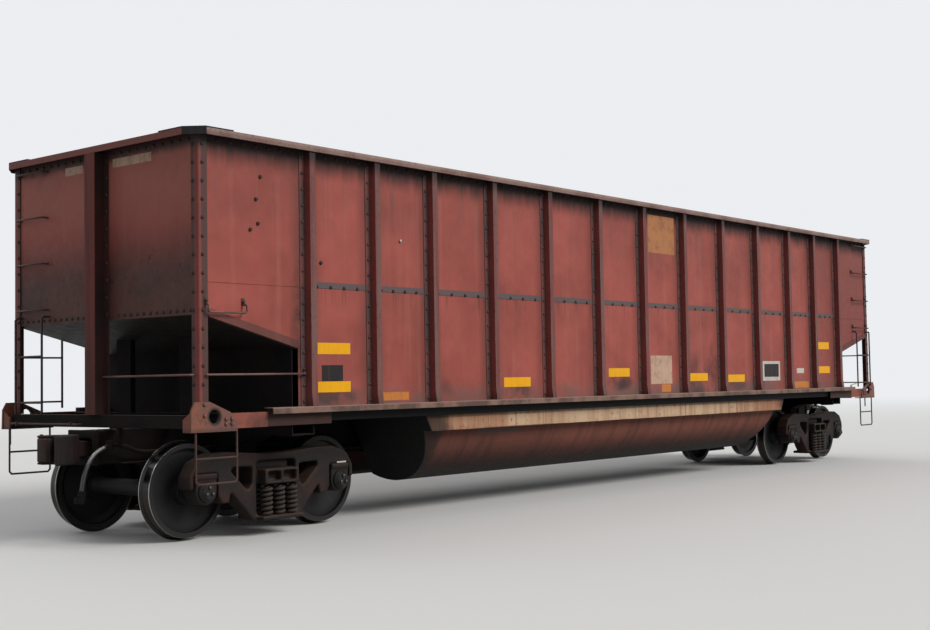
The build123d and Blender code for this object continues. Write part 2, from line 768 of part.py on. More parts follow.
# Couplers, built for end b and turned round for end a: the head holds the knuckle between two lugs
head_outline = (  # back from the pulling face, across towards the guard arm
    (330, 65), (260, 120), (190, 170), (90, 200), (-20, 215), (-20, 175), (70, 130), (125, 60),
    (130, -20), (90, -60), (15, -95), (5, -150), (40, -200), (190, -190), (260, -120), (330, -65),
)
knuckle_outline = (
    (104, -75), (104, -185), (50, -190), (5, -150), (0, -60), (5, 0), (40, 25), (70, 10), (75, -40),
)
pocket_side = 32
knuckle_pin = (48, -140)
knuckle_pin_radius = 20
with BuildPart() as coupler:
    shank_end = coupler_face - head_outline[0][0]
    with Locations(((coupler_pivot + shank_end) / 2, 0, coupler_z)):
        Box(shank_end - coupler_pivot, 2 * shank_y, 2 * shank_z)
    with Locations((coupler_pivot, 0, coupler_z)):
        Cylinder(shank_y, 2 * shank_z)
        Cylinder(pin_radius + pin_gap, 2 * shank_z, mode=Mode.SUBTRACT)
    with BuildSketch(Plane.XY.offset(coupler_z - head_z)):
        with BuildLine():
            Polyline(*[(coupler_face - back, across) for back, across in head_outline], close=True)
        make_face()
    extrude(amount=2 * head_z)
    pocket_back = coupler_face - knuckle_outline[0][0] - seat_gap
    with Locations((pocket_back, pocket_side, coupler_z)):
        Box(300, 300, 2 * knuckle_z + 6, align=(Align.MIN, Align.MAX, Align.CENTER), mode=Mode.SUBTRACT)
    with Locations((coupler_face - knuckle_pin[0], knuckle_pin[1], coupler_z)):
        Cylinder(knuckle_pin_radius + pin_gap, 2 * head_z, mode=Mode.SUBTRACT)
with BuildPart() as knuckle:
    with BuildSketch(Plane.XY.offset(coupler_z - knuckle_z)) as knuckle_face:
        with BuildLine():
            Polyline(*[(coupler_face - back, across) for back, across in knuckle_outline], close=True)
        make_face()
    extrude(amount=2 * knuckle_z)
    with Locations((coupler_face - knuckle_pin[0], knuckle_pin[1], coupler_z + 6)):
        Cylinder(knuckle_pin_radius, 2 * head_z + 12)
for end, turn in (("b", 0), ("a", 180)):
    keep(coupler.part.rotate(Axis.Z, turn), f"coupler_{end}")
    keep(knuckle.part.rotate(Axis.Z, turn), f"knuckle_{end}")

# Sill steps: a bar bent down from the gusset and up to the stub, with a rung across it
step_inner = gusset_x - step_in - step_width
step_outer = gusset_x - step_in
step_y = stub_y - bar_radius
with BuildPart() as sill_steps:
    add(bent_bar(((step_inner, step_y, stub_foot), (step_inner, step_y, step_bottom),
                  (step_outer, step_y, step_bottom), (step_outer, step_y, gusset_bottom)), bar_radius))
    with Locations(((step_inner + step_outer) / 2, step_y, step_rung)):
        Cylinder(bar_radius, step_width, rotation=(0, 90, 0))
    mirror(about=Plane.XZ)
    mirror(about=Plane.YZ)
keep(sill_steps.part, "sill_steps")

# Ladders on the side and the end at one corner of each end: four rungs, and two stiles that carry
# the lower rungs down to the sill
rungs = [chord_top - first_rung - rung * rung_pitch for rung in range(6)]
stile_top = rungs[3] - 70
side_foot = end_x - ladder_in           # on the corner post's leg
side_far = side_foot - ladder_width
rung_y = side_y + stand_off
gusset_stand = gusset_top - 55
end_foot = gusset_end_y - 30
end_far = end_foot - ladder_width + 40
rung_x = end_x + stand_off
with BuildPart() as ladders:
    for z in rungs[0:4]:
        add(bent_bar(((side_far, -side_y, z), (side_far, -rung_y, z), (side_foot, -rung_y, z),
                      (side_foot, -flange_y, z)), bar_radius))
        add(bent_bar(((end_x, -end_far, z), (rung_x, -end_far, z), (rung_x, -end_foot, z),
                      (end_x, -end_foot, z)), bar_radius))
    add(bent_bar(((side_far, -side_y, stile_top), (side_far, -rung_y, stile_top),
                  (side_far, -rung_y, sill_top)), stile_radius))
    add(bent_bar(((side_foot, -flange_y, stile_top), (side_foot, -rung_y, stile_top),
                  (side_foot, -rung_y, gusset_stand), (side_foot, -gusset_y, gusset_stand)),
                 stile_radius, 10))
    add(bent_bar(((end_x, -end_far, stile_top), (rung_x, -end_far, stile_top),
                  (rung_x, -end_far, end_sill_top)), stile_radius))
    add(bent_bar(((end_x, -end_foot, stile_top), (rung_x, -end_foot, stile_top),
                  (rung_x, -end_foot, end_sill_top)), stile_radius))
    for z in rungs[4:]:
        with Locations(((side_far + side_foot) / 2, -rung_y, z)):
            Cylinder(bar_radius, ladder_width, rotation=(0, 90, 0))
        with Locations((rung_x, -(end_far + end_foot) / 2, z)):
            Cylinder(bar_radius, end_foot - end_far, rotation=(90, 0, 0))
keep(both_hands(ladders.part), "ladders")

# Grab irons and handrails at the other corners
grab_foot = end_x - grab_in
grab_y = side_y + stand_off - 13
rail_y = side_y + stand_off - 28
rail_from = corner_edge + 35
rail_to = post_places[-1] + post_foot / 2
with BuildPart() as grab_irons:
    add(bent_bar(((grab_width - grab_foot, -side_y, grab_z), (grab_width - grab_foot, -grab_y, grab_z),
                  (grab_width - grab_foot, -grab_y, grab_z - grab_drop),
                  (-grab_foot, -grab_y, grab_z - grab_drop), (-grab_foot, -grab_y, grab_z),
                  (-grab_foot, -flange_y, grab_z)), bar_radius, 18))
keep(both_hands(grab_irons.part), "grab_irons")
with BuildPart() as handrails:
    add(bent_bar(((-rail_from, -flange_y, rail_z), (-rail_from, -rail_y, rail_z),
                  (-rail_to, -rail_y, rail_z), (-rail_to, -foot_y, rail_z)), bar_radius, 15))
    end_rail_x = end_x + stand_off - 10
    end_rail_y = end_post_width / 2 + end_post_foot / 2
    end_rail_from = side_y - corner_leg / 2
    add(bent_bar(((-flange_x, -end_rail_from, rail_z), (-end_rail_x, -end_rail_from, rail_z),
                  (-end_rail_x, -end_rail_y, rail_z), (-end_x - sheet, -end_rail_y, rail_z)),
                 bar_radius, 15))
keep(both_hands(handrails.part), "handrails")

# Uncoupling levers, each turning in two brackets on the end sill
lever_x = end_sill_x + lever_x_reach
lever_end = gusset_end_y - 50
with BuildPart() as uncoupling_levers:
    add(bent_bar(((lever_x + 90, -90, lever_z), (lever_x, -90, lever_z),
                  (lever_x, -lever_end, lever_z), (lever_x, -lever_end, lever_z - lever_drop)), bar_radius))
    for y in (draft_half + 90, lever_end - 130):
        with Locations(((end_sill_x + lever_x) / 2 + 8, -y, lever_z)):
            Box(lever_x_reach + 16, 16, 46)
keep(both_hands(uncoupling_levers.part), "uncoupling_levers")

# Brake gear at end b, on angles from the cross bearer to the end sill
gear_x = (out + end_sill_inner) / 2
gear_z = end_sill_top
tank_y = 900
cylinder_y = 960
cylinder_radius = 130
cylinder_length = 380
valve_y = 420
with BuildPart() as brake_beams:
    with BuildSketch(Plane.YZ.offset(out)):
        for y in (tank_y - 280, tank_y + 280, -valve_y, -cylinder_y):
            with BuildLine():
                Polyline(
                    (y - beam_angle, gear_z), (y + beam_angle, gear_z), (y + beam_angle, gear_z - 8),
                    (y + 8 - beam_angle, gear_z - 8), (y + 8 - beam_angle, gear_z - 80),
                    (y - beam_angle, gear_z - 80), close=True,
                )
            make_face()
    extrude(amount=end_sill_inner - out)
keep(brake_beams.part, "brake_gear_beams")

with BuildPart() as reservoir:
    tank_z = gear_z + tank_radius + 16
    with BuildSketch(Plane.YZ.offset(gear_x)):
        with BuildLine():
            Polyline(
                (tank_y - tank_length / 2, tank_z), (tank_y + tank_length / 2, tank_z),
                (tank_y + tank_length / 2, tank_z + 60), (tank_y + tank_length / 2 - 26, tank_z + 140),
                (tank_y + tank_length / 2 - 90, tank_z + tank_radius),
                (tank_y - tank_length / 2 + 90, tank_z + tank_radius),
                (tank_y - tank_length / 2 + 26, tank_z + 140), (tank_y - tank_length / 2, tank_z + 60),
                close=True,
            )
        make_face()
    revolve(axis=Axis((gear_x, 0, tank_z), (0, 1, 0)))
    for y in (tank_y - 280, tank_y + 280):
        with Locations((gear_x, y, gear_z + tank_radius / 4)):
            Box(1.5 * tank_radius, 40, tank_radius / 2)
keep(reservoir.part, "brake_reservoir")

with BuildPart() as brake_cylinder:
    cylinder_z = gear_z + cylinder_radius + 16
    with Locations((gear_x, -cylinder_y, cylinder_z)):
        Cylinder(cylinder_radius, cylinder_length, rotation=(0, 90, 0))
    with Locations((gear_x + cylinder_length / 2 - 12, -cylinder_y, cylinder_z)):
        Cylinder(cylinder_radius + 15, 24, rotation=(0, 90, 0))
    with Locations((gear_x, -cylinder_y, gear_z + cylinder_radius / 4)):
        Box(220, 160, cylinder_radius / 2)
    rod_end = out + seat_gap
    with Locations(((rod_end + gear_x) / 2, -cylinder_y, cylinder_z)):
        Cylinder(18, gear_x - rod_end, rotation=(0, 90, 0))
    with Locations((rod_end + 10, -cylinder_y, cylinder_z)):
        Box(20, 60, 2 * cylinder_radius)
keep(brake_cylinder.part, "brake_cylinder")

with BuildPart() as brake_valve:
    valve_z = gear_z + 150
    with Locations((gear_x, -valve_y, valve_z)):
        Box(130, 240, 300)
    with Locations((gear_x, -valve_y - 150, valve_z)):
        Box(150, 110, 230)
    with Locations((gear_x, -valve_y + 150, valve_z + 20)):
        Box(130, 110, 200)
    with Locations((gear_x, -valve_y + 205, valve_z + 40)):
        Cylinder(55, 60, rotation=(90, 0, 0))
    chamfer(brake_valve.edges().filter_by(Axis.X), length=12)
keep(brake_valve.part, "brake_valve")

# Brake pipe from one angle cock to the other, on hangers under the centre sill
cock_x = striker_x - cock_reach
low_pipe_z = centre_bottom - 40
pipe_route = (
    (-cock_x, -cock_y, cock_z), (-end_x - 30, -cock_y, cock_z), (-bearer_x - 450, -pipe_y, pipe_z),
    (-5300, -pipe_y, pipe_z), (-5050, -pipe_y, low_pipe_z), (-4750, -pipe_y, low_pipe_z),
    (-4450, -low_pipe_y, low_pipe_z), (3900, -low_pipe_y, low_pipe_z), (4450, low_pipe_y, low_pipe_z),
    (4750, pipe_y, low_pipe_z), (5050, pipe_y, low_pipe_z), (5300, pipe_y, pipe_z),
    (bearer_x + 450, pipe_y, pipe_z), (end_x + 30, cock_y, cock_z), (cock_x, cock_y, cock_z),
)
cock_way = Vector(80, 0, -30).normalized()
hose_start = Vector(cock_x, cock_y, cock_z) + cock_way * 60
with BuildPart() as brake_pipe:
    add(bent_bar(pipe_route, pipe_radius, 60))
    for x in (-hanger_pitch, 0, hanger_pitch):
        with Locations((x, -low_pipe_y, (centre_bottom + low_pipe_z) / 2)):
            Box(50, 2 * pipe_radius + 10, centre_bottom - low_pipe_z)
    for turn in (0, 180):
        centre = Vector(cock_x, cock_y, cock_z).rotate(Axis.Z, turn)
        way = cock_way.rotate(Axis.Z, turn)
        sign = 1 if turn == 0 else -1
        with Locations(tuple(centre)):
            Cylinder(cock_radius, 2 * cock_radius + 20)
        with Locations((sign * (end_sill_x - 30), sign * cock_y, (cock_z + end_sill_bottom) / 2)):
            Box(40, 50, end_sill_bottom - cock_z)
        with BuildSketch(Plane(origin=centre, z_dir=way)):
            Circle(25)
        extrude(amount=60)
keep(brake_pipe.part, "brake_pipe")

# Hand brake at end b: housing, spoked wheel, rod to the crank on the end sill, and a step
brake_y = -560
brake_z = chord_top - hand_brake_drop
brake_box = (140, 270, 380)
hand_wheel_radius = 280
hand_wheel_x = end_x + brake_box[0] + 50
crank_x = end_sill_x + 25
with BuildPart() as hand_brake:
    with Locations((end_x + brake_box[0] / 2, brake_y, brake_z)):
        Box(*brake_box)
    chamfer(hand_brake.edges().filter_by(Axis.X), length=45)
    with Locations((hand_wheel_x - 30, brake_y, brake_z)):
        Cylinder(38, 80, rotation=(0, 90, 0))
    with BuildSketch(Plane.YZ.offset(hand_wheel_x - 12)):
        with Locations((brake_y, brake_z)):
            Circle(hand_wheel_radius)
            Circle(hand_wheel_radius - 24, mode=Mode.SUBTRACT)
            with PolarLocations(0, 5):
                Rectangle(hand_wheel_radius - 10, 26, align=(Align.MIN, Align.CENTER))
    extrude(amount=24)
    with Locations((crank_x, brake_y - 90, (brake_z - brake_box[2] / 2 + end_sill_bottom + 60) / 2)):
        Cylinder(11, brake_z - brake_box[2] / 2 - end_sill_bottom - 60 + 2 * touch)
    with Locations(((end_sill_x + crank_x) / 2 + 10, brake_y - 90, end_sill_bottom + 50)):
        Box(crank_x - end_sill_x + 20, 60, 90)
keep(hand_brake.part, "hand_brake")

with BuildPart() as brake_step:
    step_z = end_sill_top + 110
    with Locations((end_sill_x + 60, brake_y + brake_step_y, step_z)):
        Box(*brake_step_size)
    for y_side in (1, -1):
        y = brake_y + brake_step_y + y_side * (brake_step_size[1] / 2 - 40)
        with Locations((end_sill_x - 20, y, (end_sill_top + step_z) / 2)):
            Box(40, 12, step_z - end_sill_top)
        with Locations((end_sill_x + 50, y, step_z - 20)):
            Box(150, 12, 40)
keep(brake_step.part, "brake_step")

# Trucks
frame_outline = (  # x from the middle of the truck, z above the rail, for one half
    (0, 130), (300, 130), (590, 440), (600, 330), (690, 326), (743, 400), (743, 625), (1035, 625),
    (1035, 480), (1085, 480), (1080, 609), (1000, 736), (810, 813), (532, 813), (172, 784), (0, 784),
)
frame_window = ((311, 660), (560, 672), (582, 629), (364, 428), (317, 492))


def truck(end, side):
    x0 = side * truck_x
    with BuildPart() as frames:
        frame_plane = Plane(origin=(x0, frame_inner, flange_height), x_dir=(1, 0, 0), z_dir=(0, -1, 0))
        with BuildSketch(frame_plane) as face:
            with BuildLine():
                Polyline(*frame_outline, close=True)
            make_face()
            with BuildLine():
                FilletPolyline(*frame_window, radius=window_round, close=True)
            make_face(mode=Mode.SUBTRACT)
            with Locations((0, (window_bottom + window_top) / 2 - flange_height)):
                RectangleRounded(2 * window_half, window_top - window_bottom, frame_rim,
                                 mode=Mode.SUBTRACT)
            mirror(about=Plane.YZ)
        extrude(amount=frame_inner - frame_outer)
        with BuildSketch(frame_plane.offset(frame_inner - frame_outer)):
            add(face.sketch.moved(Location((0, 0, 0))))
            offset(amount=-frame_rim)
        extrude(amount=frame_recess, mode=Mode.SUBTRACT)
        seat_bottom = frame_outline[0][1] + flange_height
        with Locations((x0, journal_y, (seat_bottom + window_bottom) / 2)):
            Box(2 * window_half + 20, 2 * seat_half_y, window_bottom - seat_bottom)
        mirror(about=Plane.XZ)
    keep(frames.part, f"side_frames_{end}")

    with BuildPart() as bolster:
        with BuildSketch(Plane.YZ.offset(x0 - bolster_half)):
            with BuildLine():
                Polyline(
                    (0, bolster_belly), (400, bolster_belly), (800, bolster_bottom),
                    (bolster_end_y, bolster_bottom), (bolster_end_y, bolster_top), (0, bolster_top),
                    close=True,
                )
            make_face()
            with Locations((470, 560)):
                SlotOverall(240, 90, mode=Mode.SUBTRACT)
            mirror(about=Plane.YZ)
        extrude(amount=2 * bolster_half)
        with Locations((x0, 0, (bolster_top + bowl_floor + 20) / 2)):
            Cylinder(bowl_radius + 22, bowl_floor + 20 - bolster_top)
        with Locations((x0, 0, bowl_floor + 10)):
            Cylinder(bowl_radius, 20, mode=Mode.SUBTRACT)
        for bearing_side in (1, -1):
            with Locations((x0, bearing_side * side_bearing_y, bolster_top + side_bearing_height / 2)):
                Box(230, 110, side_bearing_height)
        for wedge_side in (1, -1):
            with BuildSketch(Plane.XZ.offset(30 - frame_outer)):
                with BuildLine():
                    Polyline(
                        (x0 + wedge_side * bolster_half, bolster_bottom),
                        (x0 + wedge_side * (window_half - seat_gap), bolster_bottom),
                        (x0 + wedge_side * (window_half - seat_gap), bolster_top + 10),
                        (x0 + wedge_side * bolster_half, bolster_top - 40), close=True,
                    )
                make_face()
            extrude(amount=130)
        with BuildSketch(Plane.XZ.offset(-bolster_end_y)):
            with Locations((x0, (bolster_bottom + bolster_top) / 2)):
                with GridLocations(bolster_opening + bolster_web, 0, 2, 1):
                    Rectangle(bolster_opening, bolster_depth - 2 * bolster_wall)
        extrude(amount=bolster_end_y - frame_outer, mode=Mode.SUBTRACT)
        split(bisect_by=Plane.XZ, keep=Keep.BOTTOM)
        mirror(about=Plane.XZ)
    keep(bolster.part, f"truck_bolster_{end}")

    with BuildPart() as springs:
        with Locations((x0, journal_y, (window_bottom + bolster_bottom) / 2)):
            with GridLocations(spring_pitch_x, spring_pitch_y, 3, 3):
                Cylinder(spring_radius, bolster_bottom - window_bottom)
        mirror(about=Plane.XZ)
    keep(springs.part, f"springs_{end}")

    with BuildPart() as bearings:
        for axle_side in (1, -1):
            x = x0 + axle_side * axle_spacing / 2
            with Locations((x, journal_y, axle_z)):
                Cylinder(bearing_radius, bearing_length, rotation=(90, 0, 0))
            with Locations((x, journal_y, (axle_z + roof_z) / 2)):
                Box(adapter_width, bearing_length, roof_z - axle_z)
            with Locations((x, journal_y, roof_z - 24)):
                Box(adapter_width, bearing_length + 30, 48)
            with Locations((x, journal_y, axle_z)):
                Cylinder(journal_radius + running_gap, bearing_length + 1, rotation=(90, 0, 0),
                         mode=Mode.SUBTRACT)
        mirror(about=Plane.XZ)
    keep(bearings.part, f"bearings_{end}")

    with BuildPart() as beams:
        for axle_side in (1, -1):
            with Locations((x0 + axle_side * beam_x, 0, beam_z)):
                Box(50, 2 * (frame_inner - seat_gap), 60)
            with BuildSketch(Plane.XY.offset(beam_z - 18)):
                for y_side in (1, -1):
                    with BuildLine():
                        Polyline(
                            (x0 + axle_side * (beam_x - 25), y_side * 830),
                            (x0 + axle_side * (beam_x - 25), y_side * 720),
                            (x0 + axle_side * (bolster_half + 62), 0),
                            (x0 + axle_side * (bolster_half + 22), 0), close=True,
                        )
                    make_face()
                with Locations((x0 + axle_side * (beam_x + bolster_half + 24) / 2, 0)):
                    Rectangle(beam_x - bolster_half - 24, 60)
            extrude(amount=36)
            wheel_x = x0 + axle_side * axle_spacing / 2
            for y in (shoe_y, -shoe_y):
                with BuildSketch(Plane.XZ.offset(shoe_width / 2 - y)):
                    with Locations((x0 + axle_side * (beam_x + shoe_depth + 20), axle_z - 22)):
                        Rectangle(2 * shoe_depth, 310)
                    with Locations((wheel_x, axle_z)):
                        Circle(wheel_radius + shoe_gap, mode=Mode.SUBTRACT)
                extrude(amount=-shoe_width)
    keep(beams.part, f"brake_beams_{end}")


for end, side in (("a", -1), ("b", 1)):
    truck(end, side)

# Wheelsets: one turned profile from the middle of the axle to its end cap
rim_inner = wheel_radius - rim_depth
tread_end = wheel_back + rim_width
bearing_in = journal_y - bearing_length / 2
bearing_out = journal_y + bearing_length / 2
for number, x in enumerate((-truck_x - axle_spacing / 2, axle_spacing / 2 - truck_x,
                            truck_x - axle_spacing / 2, truck_x + axle_spacing / 2), 1):
    with BuildPart() as wheelset:
        with BuildSketch(Plane(origin=(x, 0, axle_z), x_dir=(0, 1, 0), z_dir=(1, 0, 0))):
            with BuildLine():
                Polyline(
                    (0, 0), (0, axle_radius), (wheel_back - 90, axle_radius),
                    (wheel_back - 60, seat_radius), (wheel_back - 6, seat_radius),
                    (wheel_back - 6, hub_radius - 8), (wheel_back + 36, hub_radius + 4),
                    (wheel_back + 74, rim_inner - 70), (wheel_back + 46, rim_inner - 8),
                    (wheel_back, rim_inner), (wheel_back, wheel_radius + 15),
                    (wheel_back + 12, wheel_radius + flange_height), (wheel_back + 32, wheel_radius),
                    (tread_end, wheel_radius - 4), (tread_end, rim_inner),
                    (wheel_back + 92, rim_inner - 8), (wheel_back + 100, rim_inner - 70),
                    (wheel_back + 68, hub_radius + 4), (wheel_back + 148, hub_radius - 12),
                    (wheel_back + 148, seat_radius), (bearing_in - 15, seat_radius),
                    (bearing_in - 15, journal_radius), (bearing_out + 6, journal_radius),
                    (bearing_out + 6, cap_radius), (bearing_out + 18, cap_radius),
                    (cap_end, cap_radius - 32), (cap_end, 0), close=True,
                )
            make_face()
        revolve(axis=Axis((x, 0, axle_z), (0, 1, 0)))
        mirror(about=Plane.XZ)
    keep(wheelset.part, f"wheelset_{number}")

# Brake hoses hang from the angle cocks and end in their coupling heads
hose_route = (  # x, y, z
    tuple(hose_start), tuple(hose_start + cock_way * 90), (7850, 382, 815), (7905, 385, 725),
    (7940, 388, 625), (7955, 390, 525),
)
hose_radii = []
for before, corner, after in zip(hose_route, hose_route[1:], hose_route[2:]):
    run_in = Vector(*corner) - Vector(*before)
    run_out = Vector(*after) - Vector(*corner)
    turn = math.radians(run_in.get_angle(run_out))
    hose_radii.append(0.45 * min(run_in.length, run_out.length) / math.tan(turn / 2))
print("hose radii", [round(radius) for radius in hose_radii])
with BuildPart() as hose:
    with BuildLine() as hose_path:
        FilletPolyline(*hose_route, radius=hose_radii)
    with BuildSketch(Plane(origin=hose_path.line @ 0, z_dir=hose_path.line % 0)):
        Circle(hose_radius)
    sweep(path=hose_path.line)
hose_length = hose_path.wire().length
print("hose length", round(hose_length))
print("volume ratio", round(hose.part.volume / (math.pi * hose_radius ** 2 * hose_length), 4))
with BuildPart() as hose_head:
    with BuildSketch(Plane(origin=hose_path.line @ 1, x_dir=(0, 1, 0), z_dir=hose_path.line % 1)):
        Rectangle(56, 52)
    extrude(amount=60)
    with BuildSketch(hose_head.faces().sort_by(Axis.Z)[0]) as head_face:
        with Locations((0, 12)):
            Circle(48)
    extrude(amount=56)
for end, turn in (("b", 0), ("a", 180)):
    keep(hose.part.rotate(Axis.Z, turn), f"brake_hose_{end}")
    keep(hose_head.part.rotate(Axis.Z, turn), f"hose_coupling_{end}")

for name, part in parts.items():
    export_step(part, f"parts/{name}.step")
print(len(parts), "nodes")
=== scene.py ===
import json
import math
import bmesh
import bpy
from mathutils import Matrix, Vector

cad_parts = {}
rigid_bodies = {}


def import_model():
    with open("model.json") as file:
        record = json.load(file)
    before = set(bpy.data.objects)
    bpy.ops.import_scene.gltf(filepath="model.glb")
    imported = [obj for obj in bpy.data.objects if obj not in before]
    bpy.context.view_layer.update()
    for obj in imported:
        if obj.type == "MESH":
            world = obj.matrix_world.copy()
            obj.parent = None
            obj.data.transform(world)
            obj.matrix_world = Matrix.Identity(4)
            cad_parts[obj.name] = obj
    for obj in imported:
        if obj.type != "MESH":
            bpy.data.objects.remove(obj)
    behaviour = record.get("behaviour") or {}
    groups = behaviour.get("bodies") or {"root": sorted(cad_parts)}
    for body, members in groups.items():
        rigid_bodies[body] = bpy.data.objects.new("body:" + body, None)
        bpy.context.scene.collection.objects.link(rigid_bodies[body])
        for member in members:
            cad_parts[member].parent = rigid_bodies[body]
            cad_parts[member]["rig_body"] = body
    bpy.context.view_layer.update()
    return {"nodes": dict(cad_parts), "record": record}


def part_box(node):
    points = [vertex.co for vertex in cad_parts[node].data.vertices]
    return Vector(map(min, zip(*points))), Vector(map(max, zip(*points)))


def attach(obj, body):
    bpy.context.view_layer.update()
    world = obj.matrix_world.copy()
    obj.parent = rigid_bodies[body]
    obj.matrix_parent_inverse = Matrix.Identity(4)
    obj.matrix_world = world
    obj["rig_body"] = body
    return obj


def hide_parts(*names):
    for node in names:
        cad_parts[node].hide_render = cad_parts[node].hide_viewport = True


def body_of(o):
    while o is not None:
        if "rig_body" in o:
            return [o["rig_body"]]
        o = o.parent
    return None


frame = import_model()
nodes = frame["nodes"]
slots = {row["node"]: row["material_slot"] for row in frame["record"]["subparts"]}
print("frame loaded:", len(nodes), "nodes")

# places that several pieces share, in metres, as in the solids
wagon = {
    "wheelRadius": 0.457,
    "flangeHeight": 0.025,
    "truckX": 6.172,
    "axleFromTruck": 0.889,
    "sideFace": 1.513,
    "endFace": 7.470,
    "postFace": 1.521,          # outer face of a post's riveted flange
    "cornerSide": 1.525,        # outer faces of the corner post's legs
    "cornerEnd": 7.482,
    "gussetFace": 1.564,
    "postPlaces": (0.0, 1.060, 2.153, 3.243, 4.304, 5.217, 6.149),
    "postFoot": 0.070,
    "sillTop": 1.270,
    "chordBottom": 3.790,
    "seam": 2.475,
    "ropeHole": (7.338, 1.206),     # along the wagon and up
    "tubAxis": (0.590, 1.118),      # across the wagon and up
}
axleHeight = wagon["flangeHeight"] + wagon["wheelRadius"]
axlePlaces = [sum(corner[0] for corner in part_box("wheelset_%d" % number)) / 2 for number in (1, 2, 3, 4)]


# camera at the place that the photograph was taken from
cameraSettings = {
    "place": (-15.194, -11.100, 1.509),
    "yaw": 50.22,               # degrees from +Y towards +X
    "pitch": 2.78,
    "roll": -0.95,
    "lens": 51.29,
    "sensor": 36.0,
    "clip": 300,
}


def makeCamera(s):
    yaw, pitch, roll = (math.radians(s[key]) for key in ("yaw", "pitch", "roll"))
    look = Vector((math.sin(yaw) * math.cos(pitch), math.cos(yaw) * math.cos(pitch), math.sin(pitch)))
    right = Vector((math.cos(yaw), -math.sin(yaw), 0.0))
    up = right.cross(look)
    turnedRight = math.cos(roll) * right + math.sin(roll) * up
    turnedUp = math.cos(roll) * up - math.sin(roll) * right
    camera = bpy.data.objects.new("camera", bpy.data.cameras.new("camera"))
    camera.data.lens = s["lens"]
    camera.data.sensor_width = s["sensor"]
    camera.data.clip_end = s["clip"]
    turn = Matrix((turnedRight, turnedUp, -look)).transposed().to_4x4()
    camera.matrix_world = Matrix.Translation(s["place"]) @ turn
    bpy.context.scene.collection.objects.link(camera)
    bpy.context.scene.camera = camera


makeCamera(cameraSettings)
print("camera placed")


# brake hoses, each hanging from its angle cock
hoseSettings = {
    "route": (
        (7.69618, 0.380, 0.91393), (7.78045, 0.380, 0.88233), (7.850, 0.382, 0.815),
        (7.905, 0.385, 0.725), (7.940, 0.388, 0.625), (7.955, 0.390, 0.525),
    ),
    "radius": 0.022,
    "length": 0.497,
    "ringSteps": 6,
    "lengthSteps": 12,
}


def makeHose(name, end, turn, s):
    curve = bpy.data.curves.new(name, "CURVE")
    curve.dimensions = "3D"
    curve.bevel_depth = 1.0
    curve.bevel_resolution = s["ringSteps"]
    curve.use_fill_caps = True
    spline = curve.splines.new("NURBS")
    spline.points.add(len(s["route"]) - 1)
    for point, (x, y, z) in zip(spline.points, s["route"]):
        point.co = (turn * x, turn * y, z, 1.0)
        point.radius = s["radius"]
    spline.order_u = 3
    spline.use_endpoint_u = True
    spline.resolution_u = s["lengthSteps"]
    hose = bpy.data.objects.new(name, curve)
    bpy.context.scene.collection.objects.link(hose)
    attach(hose, "wagon_body")
    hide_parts("brake_hose_" + end)
    x, y, z = s["route"][0]
    return hose


hoses = [makeHose("hoseB", "b", 1, hoseSettings), makeHose("hoseA", "a", -1, hoseSettings)]
print("hoses hung")


class Field:
    # one value in a material's node tree; the operators make the maths nodes
    def __init__(self, tree, socket):
        self.tree = tree
        self.socket = socket

    def make(self, kind, *inputs, out=0, **settings):
        node = self.tree.nodes.new(kind)
        for name, value in settings.items():
            setattr(node, name, value)
        for slot, value in enumerate(inputs):
            if isinstance(value, Field):
                self.tree.links.new(value.socket, node.inputs[slot])
            elif value is not None:
                node.inputs[slot].default_value = value
        return Field(self.tree, node.outputs[out])

    def maths(self, operation, *others):
        return self.make("ShaderNodeMath", self, *others, operation=operation)

    def __add__(self, other):
        return self.maths("ADD", other)

    def __sub__(self, other):
        return self.maths("SUBTRACT", other)

    def __rsub__(self, other):
        return self.maths("MULTIPLY", -1.0).maths("ADD", other)

    def __mul__(self, other):
        return self.maths("MULTIPLY", other)

    def __truediv__(self, other):
        return self.maths("DIVIDE", other)

    def __abs__(self):
        return self.maths("ABSOLUTE")

    def __pow__(self, other):
        return self.maths("POWER", other)

    def lower(self, other):
        return self.maths("MINIMUM", other)

    def higher(self, other):
        return self.maths("MAXIMUM", other)

    def ramp(self, start, end):
        # 0 at start, 1 at end, smooth between them
        return self.make("ShaderNodeMapRange", self, start, end, 0.0, 1.0, interpolation_type="SMOOTHSTEP")

    def blend(self, first, second):
        # this value is the share of the second colour; a colour may be given by its name in paint
        node = self.tree.nodes.new("ShaderNodeMix")
        node.data_type = "RGBA"
        self.tree.links.new(self.socket, node.inputs[0])
        for slot, value in ((6, first), (7, second)):
            if isinstance(value, Field):
                self.tree.links.new(value.socket, node.inputs[slot])
            else:
                node.inputs[slot].default_value = (*paint.get(value, value), 1.0)
        return Field(self.tree, node.outputs[2])


